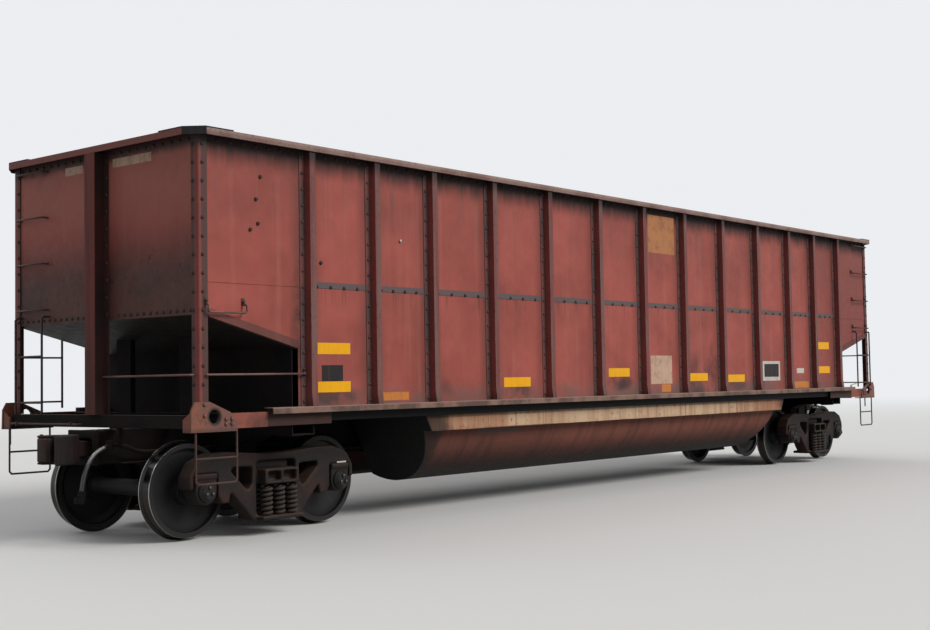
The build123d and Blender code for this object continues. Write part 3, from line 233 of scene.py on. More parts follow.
class Finish:
    # a material with the fields that its pattern starts from
    def __init__(self, name, **constants):
        self.material = bpy.data.materials.new(name)
        self.material.use_nodes = True
        self.tree = self.material.node_tree
        self.shader = self.tree.nodes["Principled BSDF"]
        for socket, value in constants.items():
            self.shader.inputs[socket.replace("_", " ")].default_value = value
        place = self.tree.nodes.new("ShaderNodeTexCoord")
        self.place = Field(self.tree, place.outputs["Object"])
        split = self.tree.nodes.new("ShaderNodeSeparateXYZ")
        self.tree.links.new(self.place.socket, split.inputs[0])
        self.x, self.y, self.z = (Field(self.tree, socket) for socket in split.outputs)
        self.across = abs(self.y)
        self.along = abs(self.x)

    def stretched(self, x, y, z):
        return self.place.make("ShaderNodeVectorMath", self.place, (x, y, z), operation="MULTIPLY")

    def noise(self, scale, detail=4.0, roughness=0.55, along=None):
        place = self.place if along is None else self.stretched(*along)
        return self.place.make("ShaderNodeTexNoise", place, None, scale, detail, roughness)

    def rise(self):
        # 1 where a face looks up, -1 where it looks down
        facing = self.place.make("ShaderNodeNewGeometry", out=1)
        return self.place.make("ShaderNodeSeparateXYZ", facing, out=2)

    def colour(self, field):
        self.tree.links.new(field.socket, self.shader.inputs["Base Color"])

    def rough(self, field):
        self.tree.links.new(field.socket, self.shader.inputs["Roughness"])

    def metal(self, field):
        self.tree.links.new(field.socket, self.shader.inputs["Metallic"])

    def bump(self, height, distance, strength=1.0):
        node = self.tree.nodes.new("ShaderNodeBump")
        node.inputs["Strength"].default_value = strength
        node.inputs["Distance"].default_value = distance
        self.tree.links.new(height.socket, node.inputs["Height"])
        self.tree.links.new(node.outputs[0], self.shader.inputs["Normal"])

    def done(self, colour, roughness, height, distance, strength=0.5):
        self.colour(colour)
        self.rough(roughness)
        self.bump(height, distance, strength)
        return self.material


def srgb(red, green, blue):
    # a colour read off on the 0 to 255 scale, made linear
    return tuple(c / 3294.6 if c <= 10 else ((c / 255 + 0.055) / 1.055) ** 2.4 for c in (red, green, blue))


paint = {
    "panel": srgb(167, 84, 73),
    "panelDark": srgb(136, 67, 57),
    "panelPale": srgb(170, 102, 88),
    "panelFar": srgb(120, 58, 51),
    "soot": srgb(29, 27, 25),
    "brownSoot": srgb(45, 31, 24),
    "grime": srgb(60, 48, 44),
    "greyDirt": srgb(92, 82, 76),
    "seamGrey": srgb(88, 79, 79),
    "flangeGrime": srgb(74, 60, 57),
    "rust": srgb(92, 50, 32),
    "orangeRust": srgb(150, 84, 52),
    "post": srgb(114, 58, 54),
    "endPost": srgb(88, 42, 38),
    "postWeb": srgb(138, 72, 66),
    "postWorn": srgb(112, 82, 76),
    "chord": srgb(104, 70, 62),
    "chordPale": srgb(152, 126, 116),
    "cornerRed": srgb(128, 62, 53),
    "cap": srgb(16, 16, 17),
    "coalDust": srgb(42, 37, 35),
    "coalGrey": srgb(66, 59, 55),
    "loadRust": srgb(96, 62, 46),
    "tan": srgb(198, 168, 136),
    "tanBrown": srgb(158, 109, 80),
    "tubBrown": srgb(130, 79, 66),
    "tubDark": srgb(34, 25, 22),
    "lip": srgb(134, 106, 94),
    "lipPale": srgb(160, 134, 122),
    "stub": srgb(140, 82, 68),
    "channel": srgb(68, 47, 41),
    "gusset": srgb(112, 76, 67),
    "black": srgb(13, 12, 12),
    "dust": srgb(78, 68, 60),
    "underRed": srgb(34, 24, 22),
    "truck": srgb(27, 22, 20),
    "truckDust": srgb(86, 67, 54),
    "spring": srgb(52, 46, 42),
    "treadSteel": srgb(52, 50, 49),
    "brightEdge": srgb(176, 174, 170),
    "wheelPlate": srgb(17, 15, 15),
    "rimFace": srgb(30, 27, 26),
    "bar": srgb(122, 88, 82),
    "darkBar": srgb(62, 48, 44),
}


def nearestPost(f):
    # distance to the nearest side post, along the wagon
    nearest = None
    for place in wagon["postPlaces"]:
        away = abs(f.along - place)
        nearest = away if nearest is None else nearest.lower(away)
    return nearest


smudges = (  # dark stains on the near side: middle along the wagon, height, half sizes, share
    (-5.75, 1.36, 0.34, 0.10, 0.6), (-2.75, 1.36, 0.30, 0.10, 0.75), (-0.52, 1.44, 0.28, 0.11, 0.8),
    (1.55, 1.45, 0.42, 0.36, 0.6), (2.62, 1.36, 0.34, 0.08, 0.5), (-6.20, 1.95, 0.14, 0.70, 0.75),
    (3.35, 1.42, 0.20, 0.20, 0.6), (-4.15, 1.40, 0.22, 0.16, 0.4), (1.95, 1.60, 0.16, 0.40, 0.5),
)


def loadStained(f):
    # inside, where the load rubs: coal dust over rust, scoured in upright streaks
    scour = f.noise(1.0, 5.0, 0.6, along=(4.0, 4.0, 0.6))
    cloud = f.noise(1.4, 5.0, 0.65)
    grit = f.noise(30.0, 4.0, 0.7)
    colour = (scour.ramp(0.35, 0.65) * 0.8).blend("loadRust", "coalDust")
    colour = (cloud.ramp(0.40, 0.65) * 0.6).blend(colour, "coalGrey")
    return (grit.ramp(0.55, 0.70) * 0.5).blend(colour, "rust")


def redPaint():
    # side and end sheets: faded, sooty under the chord, darker beside the posts from grime and painted post
    # shadow, and low down; painted light makes the upper end paler, painted shade darkens the lower end and
    # the faces that look down
    f = Finish("redPaint", Specular_IOR_Level=0.25)
    broad = f.noise(0.8, 3.0)
    cloud = f.noise(2.6, 4.0, 0.6)
    fine = f.noise(14.0, 5.0, 0.65)
    streak = f.noise(1.0, 4.0, 0.6, along=(9.0, 9.0, 0.35))
    narrow = f.noise(1.0, 3.0, 0.6, along=(34.0, 34.0, 0.9))
    end = f.along.ramp(7.463, 7.465)
    side = 1.0 - end
    middle = f.along.ramp(6.16, 6.14)
    faded = broad.ramp(0.30, 0.62) * 0.6 + cloud.ramp(0.35, 0.7) * 0.4
    shade = faded.blend("panelDark", "panel")
    shade = (streak.ramp(0.50, 0.75) * 0.35).blend(shade, "panelPale")
    shade = (f.x.ramp(4.4, 6.4) * 0.75).blend(shade, "panelFar")
    # painted light: the upper end sheet is made paler
    shade = (end * f.z.ramp(2.8, 3.5) * 0.6).blend(shade, "panelPale")
    upper = side * f.z.ramp(2.75, 3.35) * narrow.ramp(0.45, 0.75) * 0.35
    shade = upper.blend(shade, "greyDirt")
    # darker beside the posts: grime with painted shadow of the posts
    post = side * nearestPost(f).ramp(0.24, 0.075) * (cloud.ramp(0.25, 0.7) * 0.35 + 0.15)
    shade = post.blend(shade, "grime")
    low = f.z.ramp(1.52, 1.29) * (cloud.ramp(0.30, 0.62) * 0.55 + 0.20)
    shade = low.blend(shade, "greyDirt")
    below = wagon["seam"] - f.z
    drip = below.ramp(0.0, 0.05) * below.ramp(0.30, 0.0) * narrow.ramp(0.52, 0.70)
    shade = (drip * middle * 0.55).blend(shade, "grime")
    band = abs(f.z - wagon["seam"]).ramp(0.037, 0.028) * middle * (cloud.ramp(0.2, 0.6) * 0.1 + 0.86)
    shade = band.blend(shade, "seamGrey")
    angle = f.across.ramp(1.5225, 1.5250) * 0.62
    shade = angle.blend(shade, "grime")
    near = f.y.ramp(-1.500, -1.505)
    for x, z, halfX, halfZ, share in smudges:
        away = ((f.x - x) / halfX) ** 2.0 + ((f.z - z) / halfZ) ** 2.0
        shade = (away.ramp(1.6, 0.2) * near * (cloud.ramp(0.35, 0.60) * share)).blend(shade, "soot")
    top = side * (f.z + (streak - 0.5) * 0.16).ramp(3.50, 3.745) * 0.96
    colour = top.blend(shade, "soot")
    # soot with painted shade: the end sheet darkens towards its foot
    endSootAndShade = end * (f.z.ramp(3.15, 2.50) * 0.80 + 0.03 + (cloud.ramp(0.42, 0.62) * 0.10))
    colour = endSootAndShade.lower(0.92).blend(colour, "brownSoot")
    endTop = end * (f.z + (streak - 0.5) * 0.10).ramp(3.66, 3.76) * 0.9
    colour = endTop.blend(colour, "soot")
    spots = f.noise(9.0, 5.0, 0.75).ramp(0.58, 0.66) * end * f.z.ramp(2.95, 2.60) * f.z.ramp(2.20, 2.35)
    colour = (spots * 0.8).blend(colour, "black")
    specks = f.noise(46.0, 4.0, 0.7).ramp(0.66, 0.72) * streak.ramp(0.40, 0.62)
    colour = (specks * 0.6).blend(colour, "rust")
    inside = f.across.ramp(1.5095, 1.5085) * f.along.ramp(7.4665, 7.4655)
    colour = inside.blend(colour, loadStained(f))
    # painted shade: faces that look down are made black
    colour = (f.rise().ramp(-0.15, -0.55) * 0.95).blend(colour, "black")
    dents = f.noise(1.3, 2.0) + f.noise(3.7, 2.0) * 0.25
    return f.done(colour, fine.ramp(0.2, 0.8) * 0.18 + 0.46 + top * 0.25, dents + fine * 0.02, 0.030, 0.55)


def postPaint():
    # grimy riveted flange, red web and a worn outer face with dark spots
    f = Finish("postPaint", Specular_IOR_Level=0.25)
    fine = f.noise(26.0, 5.0, 0.7)
    cloud = f.noise(2.4, 4.0, 0.6)
    streak = f.noise(1.0, 4.0, 0.6, along=(16.0, 16.0, 1.1))
    outer = f.across.ramp(1.5965, 1.5990)
    riveted = f.across.ramp(1.5260, 1.5225)
    colour = (cloud.ramp(0.40, 0.66) * 0.5).blend("postWeb", "post")
    worn = streak.ramp(0.35, 0.70).blend("postWorn", "post")
    colour = outer.blend(colour, worn)
    dirty = (cloud.ramp(0.30, 0.62) * 0.5 + 0.45) * riveted
    colour = dirty.blend(colour, "flangeGrime")
    colour = (fine.ramp(0.56, 0.68) * 0.55).blend(colour, "grime")
    colour = ((f.z + (streak - 0.5) * 0.1).ramp(3.60, 3.76) * 0.85).blend(colour, "soot")
    colour = (f.z.ramp(1.40, 1.28) * 0.4).blend(colour, "grime")
    return f.done(colour, fine * 0.25 + 0.52, fine + cloud, 0.003)


def endPostPaint():
    # dull red outer face, painted shade on the sides, darker towards the foot
    f = Finish("endPostPaint", Specular_IOR_Level=0.2)
    fine = f.noise(24.0, 5.0, 0.7)
    cloud = f.noise(1.8, 4.0, 0.6)
    streak = f.noise(1.0, 4.0, 0.6, along=(14.0, 14.0, 0.8))
    sides = f.along.ramp(7.596, 7.592)
    colour = (streak.ramp(0.42, 0.70) * 0.4 + 0.6).blend("cornerRed", "endPost")
    # painted shade: the post's sides are made dark with the soot colour
    colour = (sides * (cloud.ramp(0.3, 0.6) * 0.2 + 0.7)).blend(colour, "soot")
    colour = (f.z.ramp(2.4, 1.3) * 0.55).blend(colour, "brownSoot")
    colour = (fine.ramp(0.56, 0.70) * 0.4).blend(colour, "rust")
    return f.done(colour, fine * 0.25 + 0.5, fine + cloud, 0.004)


def grimedPaint(name, base, worn, dirt, wornShare=0.6, dirtShare=0.6, rustShare=0.4, scale=1.0):
    # paint worn in streaks, under patches of dirt and small rust spots
    f = Finish(name, Specular_IOR_Level=0.3)
    broad = f.noise(1.7 * scale, 4.0)
    fine = f.noise(24.0 * scale, 5.0, 0.7)
    streak = f.noise(1.0, 4.0, 0.6, along=(16.0 * scale, 16.0 * scale, 1.1 * scale))
    colour = (streak.ramp(0.44, 0.68) * wornShare).blend(base, worn)
    colour = (broad.ramp(0.45, 0.68) * dirtShare).blend(colour, dirt)
    colour = (fine.ramp(0.58, 0.70) * rustShare).blend(colour, "rust")
    return f.done(colour, fine * 0.25 + 0.52, fine + broad * 1.5, 0.004)


def cornerPaint():
    # red between the two columns of rivets, grey grime over them and black under the chord
    f = Finish("cornerPaint", Specular_IOR_Level=0.3)
    fine = f.noise(26.0, 5.0, 0.7)
    cloud = f.noise(5.0, 4.0, 0.6)
    sideGrime = f.along.ramp(7.455, 7.440) + f.across.ramp(1.470, 1.455)
    colour = cloud.ramp(0.35, 0.65).blend("cornerRed", "post")
    colour = (sideGrime.lower(1.0) * 0.8).blend(colour, "grime")
    colour = (f.z.ramp(3.62, 3.74) * 0.9).blend(colour, "soot")
    colour = (fine.ramp(0.56, 0.70) * 0.5).blend(colour, "rust")
    return f.done(colour, fine * 0.25 + 0.5, fine, 0.003)


def chordPaint():
    # side chords rubbed pale and grey in patches, with a painted highlight along the top edge; end chords
    # redder
    f = Finish("chordPaint", Specular_IOR_Level=0.35)
    broad = f.noise(2.4, 4.0)
    fine = f.noise(30.0, 5.0, 0.7)
    end = f.along.ramp(7.448, 7.456)
    # painted highlight: the side chords' top edge is made pale
    edge = f.z.ramp(3.812, 3.842)
    paleWearAndHighlight = (broad.ramp(0.30, 0.62) * 0.5 + edge * 0.5) * (1.0 - end)
    colour = paleWearAndHighlight.blend("chord", "chordPale")
    colour = (end * 0.7).blend(colour, "cornerRed")
    colour = (fine.ramp(0.52, 0.66) * 0.45).blend(colour, "grime")
    return f.done(colour, fine * 0.25 + 0.5, fine, 0.004)


def sillPaint():
    # a dusty red lip, paler along its top from dust and painted highlight, a brighter stub at each corner and
    # black behind as painted shade
    f = Finish("sillPaint", Specular_IOR_Level=0.15)
    fine = f.noise(26.0, 5.0, 0.7)
    cloud = f.noise(3.2, 4.0, 0.6)
    lip = f.across.ramp(1.6, 1.606)
    top = f.z.ramp(1.262, 1.268)
    stub = f.along.ramp(6.676, 6.680)
    lipColour = (cloud.ramp(0.40, 0.62) * 0.65).blend("lip", "grime")
    lipColour = (fine.ramp(0.55, 0.66) * 0.4).blend(lipColour, "orangeRust")
    # dust with painted highlight: the lip's top is made pale
    lipColour = (f.z.ramp(1.255, 1.268) * 0.6).blend(lipColour, "lipPale")
    stubColour = (cloud.ramp(0.45, 0.66) * 0.6).blend("stub", "grime")
    outer = f.across.ramp(1.540, 1.5435) * f.along.ramp(5.82, 5.84)
    # painted shade: everything but the lip, the stub and the outer channel faces is nearly black
    channel = (outer * 0.8).blend(srgb(3, 3, 3), "channel")
    channel = (outer * cloud.ramp(0.35, 0.6) * 0.5).blend(channel, "grime")
    colour = (lip.higher(top)).blend(channel, lipColour)
    colour = stub.blend(colour, stubColour)
    return f.done(colour, fine * 0.25 + 0.55, fine, 0.003)


def gussetPaint():
    f = Finish("gussetPaint", Specular_IOR_Level=0.3)
    fine = f.noise(20.0, 5.0, 0.7)
    cloud = f.noise(5.0, 4.0, 0.65)
    out = (f.along.ramp(7.25, 7.60) * 0.9 + 0.1) * cloud.ramp(0.38, 0.62)
    colour = (out * 0.55).blend("gusset", "orangeRust")
    middle, height = wagon["ropeHole"]
    hole = ((f.along - middle) ** 2.0 + (f.z - height) ** 2.0) ** 0.5
    colour = (hole.ramp(0.10, 0.068) * 0.9).blend(colour, "soot")
    colour = (fine.ramp(0.52, 0.66) * 0.5).blend(colour, "grime")
    colour = (f.z.ramp(1.12, 1.07) * 0.6).blend(colour, "grime")
    return f.done(colour, fine * 0.25 + 0.5, fine + cloud, 0.004, 0.6)


def tubPaint():
    # a tan band of dust and rust runs on the straight side, its top in painted shadow under the sill; brown
    # below, going to black round the bottom and on the steep ends in painted shade
    f = Finish("tubPaint", Specular_IOR_Level=0.2)
    fine = f.noise(16.0, 5.0, 0.65)
    broad = f.noise(1.1, 4.0)
    cloud = f.noise(3.0, 4.0, 0.6)
    runs = f.noise(1.0, 5.0, 0.65, along=(6.0, 0.5, 0.35))
    narrow = f.noise(1.0, 4.0, 0.6, along=(20.0, 1.0, 0.9))
    band = (f.z + (broad - 0.5) * 0.05).ramp(0.938, 0.956)
    pale = (f.x / 3.4) ** 2.0
    tan = (pale * 0.50 + (runs - 0.5) * 2.2 + 0.1).ramp(0.0, 1.0).blend("tan", "tanBrown")
    tan = (narrow.ramp(0.55, 0.68) * 0.6).blend(tan, "tubBrown")
    tan = (fine.ramp(0.58, 0.68) * 0.7).blend(tan, "orangeRust")
    # painted shadow: the top of the tan band, under the sill's lip, is darkened
    tan = (f.z.ramp(1.15, 1.19) * 0.7).blend(tan, "tubDark")
    brown = (runs.ramp(0.45, 0.72) * 0.4).blend("tubBrown", "tubDark")
    # painted shade: the brown darkens towards the bottom and turns nearly black at the very bottom
    brown = (f.z + (cloud - 0.5) * 0.10).ramp(0.80, 0.44).blend(brown, "tubDark")
    brown = (f.z.ramp(0.48, 0.37) * 0.7).blend(brown, "black")
    brown = (narrow.ramp(0.56, 0.72) * 0.15).blend(brown, "black")
    brown = (f.x.ramp(-0.8, -3.2) * 0.30).blend(brown, "tubDark")
    patch = abs(f.x + 2.85).ramp(0.42, 0.40) * abs(f.z - 0.905).ramp(0.040, 0.034) * f.y.ramp(-1.2, -1.25)
    brown = (patch * (cloud.ramp(0.3, 0.6) * 0.4 + 0.4)).blend(brown, "greyDirt")
    colour = band.blend(brown, tan)
    stain = (f.along - f.x.ramp(-1.0, 1.0) * 0.22 + (cloud - 0.5) * 0.5).ramp(3.85, 4.05)
    colour = (stain * 0.85).blend(colour, "soot")
    steep = (f.along - (f.z - 0.36) * 0.54).ramp(3.870, 3.890)
    # painted shade: the steep ends of the tub are black
    colour = steep.blend(colour, "black")
    below = f.z.ramp(0.950, 0.940)
    middle, height = wagon["tubAxis"]
    radius = ((f.across - middle) ** 2.0 + (f.z - height) ** 2.0) ** 0.5
    outside = f.across.ramp(1.4445, 1.4475).higher(radius.ramp(0.7545, 0.7575) * below)
    outside = outside.higher(steep).higher(f.across.ramp(0.281, 0.278))
    colour = outside.blend(loadStained(f), colour)
    return f.done(colour, fine * 0.3 + 0.5, fine + broad * 2.0, 0.006)


def blackPaint(name, dustShare=0.8):
    # underframe: nearly black, with dust and painted top light on what faces up
    f = Finish(name, Specular_IOR_Level=0.12)
    fine = f.noise(18.0, 5.0, 0.7)
    broad = f.noise(2.0, 4.0)
    # dust with painted light: faces that look up are made paler
    dustAndTopLight = f.rise().ramp(0.3, 0.9) * (fine * 0.6 + 0.4) * dustShare
    colour = (broad.ramp(0.35, 0.7) * 0.6).blend("black", "underRed")
    colour = dustAndTopLight.blend(colour, "dust")
    return f.done(colour, fine * 0.2 + 0.72, fine, 0.004)


def castIron(name, base, dustShare=0.7):
    # castings: rough, brown with brake dust, paler on top from dust and painted top light
    f = Finish(name, Specular_IOR_Level=0.25)
    grain = f.noise(120.0, 3.0, 0.7)
    fine = f.noise(20.0, 5.0, 0.7)
    broad = f.noise(3.0, 4.0)
    # dust with painted light: faces that look up are made paler
    dustAndTopLight = f.rise().ramp(-0.1, 0.95) * (fine * 0.7 + 0.3) * dustShare
    colour = (broad.ramp(0.45, 0.72) * 0.22).blend(base, "rust")
    colour = (fine.ramp(0.50, 0.68) * 0.4).blend(colour, "soot")
    colour = dustAndTopLight.blend(colour, "truckDust")
    return f.done(colour, fine * 0.2 + 0.62, grain + fine * 2.0, 0.003, 0.6)


def wheelSteel():
    # a worn tread, a rubbed rim face, an oily black plate and painted highlight lines on the flange tip and
    # rim edge
    f = Finish("wheelSteel", Specular_IOR_Level=0.3)
    away = abs(f.along - wagon["truckX"]) - wagon["axleFromTruck"]
    high = f.z - axleHeight
    radius = (away * away + high * high) ** 0.5
    fine = f.noise(26.0, 5.0, 0.7)
    cloud = f.noise(4.0, 4.0, 0.6)
    tread = radius.ramp(0.4475, 0.4515)
    face = radius.ramp(0.402, 0.410) * radius.ramp(0.4515, 0.4475)
    colour = (cloud.ramp(0.50, 0.72) * 0.25).blend("wheelPlate", "underRed")
    colour = (face * 0.8).blend(colour, "rimFace")
    colour = tread.blend(colour, "treadSteel")
    # painted highlight: bright lines along the flange tip, which is also polished, and along the rim's outer
    # edge
    flange = radius.ramp(0.4765, 0.4795)
    rim = abs(radius - 0.4535).ramp(0.0025, 0.0012) * f.across.ramp(0.800, 0.808)
    colour = (flange.higher(rim) * 0.85).blend(colour, "brightEdge")
    f.metal(tread * 0.95)
    return f.done(colour, (1.0 - tread) * 0.40 + 0.16 + fine * 0.08, fine, 0.001, 0.25)


def hoseRubber():
    # black rubber, with a painted highlight on the faces of its upper end that look up
    f = Finish("hoseRubber", Specular_IOR_Level=0.5)
    fine = f.noise(60.0, 4.0, 0.7)
    colour = fine.ramp(0.35, 0.7).blend(srgb(18, 17, 17), srgb(44, 41, 39))
    # painted highlight: pale on faces that look up, near the hose's upper end
    colour = (f.rise().ramp(0.1, 0.7) * fine.ramp(0.30, 0.50) * f.z.ramp(0.72, 0.84) * 0.9).blend(
        colour, srgb(170, 166, 160))
    return f.done(colour, fine * 0.2 + 0.34, fine, 0.001)


def steelPaint(name, bright, rusty):
    # rubbed steel on bolts and clamps
    f = Finish(name, Metallic=0.8)
    fine = f.noise(90.0, 4.0, 0.7)
    return f.done(fine.ramp(0.35, 0.65).blend(bright, rusty), fine * 0.3 + 0.25, fine, 0.0005, 0.4)


def signPaint(name, colour, wear):
    # a bare strip or panel of paint, dirty and rubbed through to the red
    f = Finish(name, Specular_IOR_Level=0.2)
    fine = f.noise(40.0, 5.0, 0.7)
    cloud = f.noise(6.0, 5.0, 0.65)
    streak = f.noise(1.0, 4.0, 0.6, along=(30.0, 30.0, 2.0))
    shown = (fine.ramp(0.60, 0.70) * wear).blend(colour, "panelDark")
    shown = (cloud.ramp(0.46, 0.70) * wear * 0.6).blend(shown, "grime")
    shown = (streak.ramp(0.50, 0.72) * wear * 0.7).blend(shown, "panelPale")
    return f.done(shown, fine * 0.2 + 0.38, fine, 0.0005, 0.4)


finishes = {
    "body_red": redPaint(),
    "post_red": postPaint(),
    "chord_red": chordPaint(),
    "tub_steel": tubPaint(),
    "sill_black": blackPaint("underPaint"),
    "iron_bar": grimedPaint("barPaint", "bar", "postWorn", "grime", 0.5, 0.7, 0.4, 2.0),
    "darkBar": grimedPaint("darkBarPaint", "darkBar", "grime", "rust", 0.4, 0.4, 0.3, 2.0),
    "brake_black": blackPaint("brakePaint", 0.5),
    "hose_rubber": hoseRubber(),
    "rusty_casting": castIron("couplerIron", "truck", 0.5),
    "truck_casting": castIron("truckIron", "truck"),
    "spring_steel": castIron("springIron", "spring", 0.4),
    "wheel_steel": wheelSteel(),
    "corner": cornerPaint(),
    "cap": grimedPaint("capPaint", "cap", "grime", "black", 0.3, 0.6, 0.2),
    "endPost": endPostPaint(),
    "sill": sillPaint(),
    "gusset": gussetPaint(),
    "rivet": grimedPaint("rivetPaint", "brownSoot", "grime", "soot", 0.6, 0.5, 0.4, 3.0),
    "redRivet": grimedPaint("redRivetPaint", "grime", "post", "soot", 0.5, 0.5, 0.4, 3.0),
    "bolt": steelPaint("boltSteel", srgb(98, 92, 86), srgb(58, 46, 40)),
    "brightSteel": steelPaint("brightSteel", srgb(196, 192, 186), srgb(110, 98, 88)),
    "yellow": signPaint("yellowStrip", srgb(240, 171, 14), 0.15),
    "orange": signPaint("orangeStrip", srgb(196, 122, 54), 0.45),
    "white": signPaint("whitePlate", srgb(200, 194, 184), 0.4),
    "tanPatch": signPaint("tanPatch", srgb(176, 118, 74), 0.8),
    "palePatch": signPaint("palePatch", srgb(196, 162, 138), 0.7),
    "blackPatch": signPaint("blackPatch", srgb(32, 29, 29), 0.12),
}
ownFinish = {
    "corner_posts": "corner", "corner_caps": "cap", "end_posts": "endPost", "side_sills": "sill",
    "corner_gussets": "gusset", "sill_steps": "darkBar", "ladders": "darkBar",
    "uncoupling_levers": "darkBar", "brake_pipe": "brake_black",
}
for name, node in nodes.items():
    node.data.materials.clear()
    node.data.materials.append(finishes[ownFinish.get(name, slots[name])])
for hose in hoses:
    hose.data.materials.append(finishes["hose_rubber"])
print("materials made:", len(finishes))


def meshFrom(name, bm):
    mesh = bpy.data.meshes.new(name)
    bm.to_mesh(mesh)
    bm.free()
    return mesh


def finishPiece(name, bm, finish, body, replaced=()):
    # the bmesh's shape as a smooth piece on a body
    mesh = meshFrom(name, bm)
    for stale in [layer.name for layer in mesh.attributes if "custom_normal" in layer.name]:
        mesh.attributes.remove(mesh.attributes[stale])
    mesh.materials.clear()
    mesh.materials.append(finishes[finish])
    mesh.shade_smooth()
    piece = bpy.data.objects.new(name, mesh)
    bpy.context.scene.collection.objects.link(piece)
    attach(piece, body)
    if replaced:
        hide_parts(*replaced)
    return piece


cleanSettings = {"join": 2e-5, "flat": 0.5}     # metres, degrees


def mergedCopy(name):
    # the solid's mesh with its corners joined
    bm = bmesh.new()
    bm.from_mesh(nodes[name].data)
    bmesh.ops.remove_doubles(bm, verts=bm.verts[:], dist=cleanSettings["join"])
    return bm


def standIn(prefix, name, bm):
    # a piece that takes the solid's place
    body = body_of(nodes[name])[0]
    words = "".join(word.capitalize() for word in name.split("_"))
    return finishPiece(prefix + words, bm, ownFinish.get(name, slots[name]), body, [name])


# merged copies of the solids, with their edges rounded so that they catch the light
edgeRounds = {  # radius in metres and the angle from which an edge counts
    "brake_beams_a": (0.004, 30), "brake_beams_b": (0.004, 30),
    "wheelset_1": (0.003, 35), "wheelset_2": (0.003, 35),
    "wheelset_3": (0.003, 35), "wheelset_4": (0.003, 35),
    "corner_gussets": (0.005, 30),
    "side_chords": (0.004, 30), "end_chords": (0.004, 30), "corner_caps": (0.003, 30),
    "side_posts_near": (0.003, 30), "side_posts_far": (0.003, 30),
    "end_posts": (0.005, 30), "corner_posts": (0.002, 35),
    "side_sills": (0.003, 30), "end_sills": (0.004, 30),
    "brake_reservoir": (0.003, 35), "brake_cylinder": (0.003, 35),
    "hand_brake": (0.003, 35), "brake_step": (0.002, 30),
    "tubs": (0.003, 30), "sill_hood": (0.004, 30),
    "ladders": (0.0, 50), "handrails": (0.0, 50), "grab_irons": (0.0, 50), "sill_steps": (0.0, 50),
    "uncoupling_levers": (0.0, 50), "brake_pipe": (0.0, 50),
}


def roundEdges(name, radius, angle):
    bm = mergedCopy(name)
    flat = math.radians(cleanSettings["flat"])
    bmesh.ops.dissolve_limit(bm, angle_limit=flat, verts=bm.verts[:], edges=bm.edges[:])
    for edge in bm.edges:
        edge.smooth = radius > 0 or edge.calc_face_angle(math.pi) < math.radians(angle)
    piece = standIn("dressed", name, bm)
    if radius > 0:
        bevel = piece.modifiers.new("edgeRound", "BEVEL")
        bevel.width = radius
        bevel.segments = 2
        bevel.limit_method = "ANGLE"
        bevel.angle_limit = math.radians(angle)
        bevel.harden_normals = True
        bevel.use_clamp_overlap = True


for name, (radius, angle) in edgeRounds.items():
    roundEdges(name, radius, angle)
print("edges rounded on", len(edgeRounds), "solids")


# castings, remeshed and smoothed so that they have no sharp edge anywhere
castings = {  # mesh size in metres and rounds of smoothing
    "side_frames_a": (0.012, 8), "side_frames_b": (0.012, 8),
    "truck_bolster_a": (0.012, 5), "truck_bolster_b": (0.012, 5),
    "bearings_a": (0.009, 3), "bearings_b": (0.009, 3),
    "coupler_a": (0.010, 6), "coupler_b": (0.010, 6),
    "knuckle_a": (0.008, 5), "knuckle_b": (0.008, 5),
    "draft_boxes": (0.014, 3), "brake_valve": (0.008, 3),
}


def castCopy(name, size, rounds):
    piece = standIn("cast", name, mergedCopy(name))
    remesh = piece.modifiers.new("skin", "REMESH")
    remesh.mode = "VOXEL"
    remesh.voxel_size = size
    remesh.use_smooth_shade = True
    smooth = piece.modifiers.new("soften", "SMOOTH")
    smooth.factor = 0.5
    smooth.iterations = rounds


for name, (size, rounds) in castings.items():
    castCopy(name, size, rounds)
print("castings softened:", len(castings))


def softenEdges(bm, edges, offset, segments=1):
    bmesh.ops.bevel(bm, geom=edges, offset=offset, segments=segments, profile=0.5, affect="EDGES",
                    material=-1)


def closeHoles(bm):
    bmesh.ops.holes_fill(bm, edges=[edge for edge in bm.edges if edge.is_boundary], sides=0)


def scatter(name, head, spots, finish, body, replaced=()):
    # copies of a small mesh, each standing on its spot and facing out of it
    bm = bmesh.new()
    for place, facing in spots:
        count = len(bm.verts)
        bm.from_mesh(head)
        turn = Vector(facing).to_track_quat("Z", "Y").to_matrix().to_4x4()
        bmesh.ops.transform(bm, matrix=Matrix.Translation(place) @ turn, verts=list(bm.verts)[count:])
    finishPiece(name, bm, finish, body, replaced)


# coil springs under the ends of the truck bolsters, an inner coil in each outer one
springSettings = {
    "outer": {"wire": 0.0160, "radius": 0.0478, "turns": 6.0, "sides": 8, "stepsPerTurn": 18},
    "inner": {"wire": 0.0090, "radius": 0.0215, "turns": 9.0, "sides": 6, "stepsPerTurn": 10},
    "bottom": 0.198,
    "top": 0.506,
    "pitchX": 0.165,
    "pitchY": 0.130,
    "journalY": 1.003,
}


padSettings = {
    "size": (0.420, 0.060, 0.076),
    "across": 1.000,
    "foot": 0.657,
    "round": 0.010,
}


def makeWearPads(end, side, s):
    # wear pads on the bolster's ends, under the side frames
    bm = bmesh.new()
    for across in (-1, 1):
        block = bmesh.ops.create_cube(bm, size=1.0)["verts"]
        bmesh.ops.scale(bm, vec=s["size"], verts=block)
        place = (side * wagon["truckX"], across * s["across"], s["foot"] + s["size"][2] / 2)
        bmesh.ops.translate(bm, vec=place, verts=block)
    softenEdges(bm, bm.edges[:], s["round"], 3)
    finishPiece("bolsterPads" + end.upper(), bm, "truck_casting", "truck_" + end)


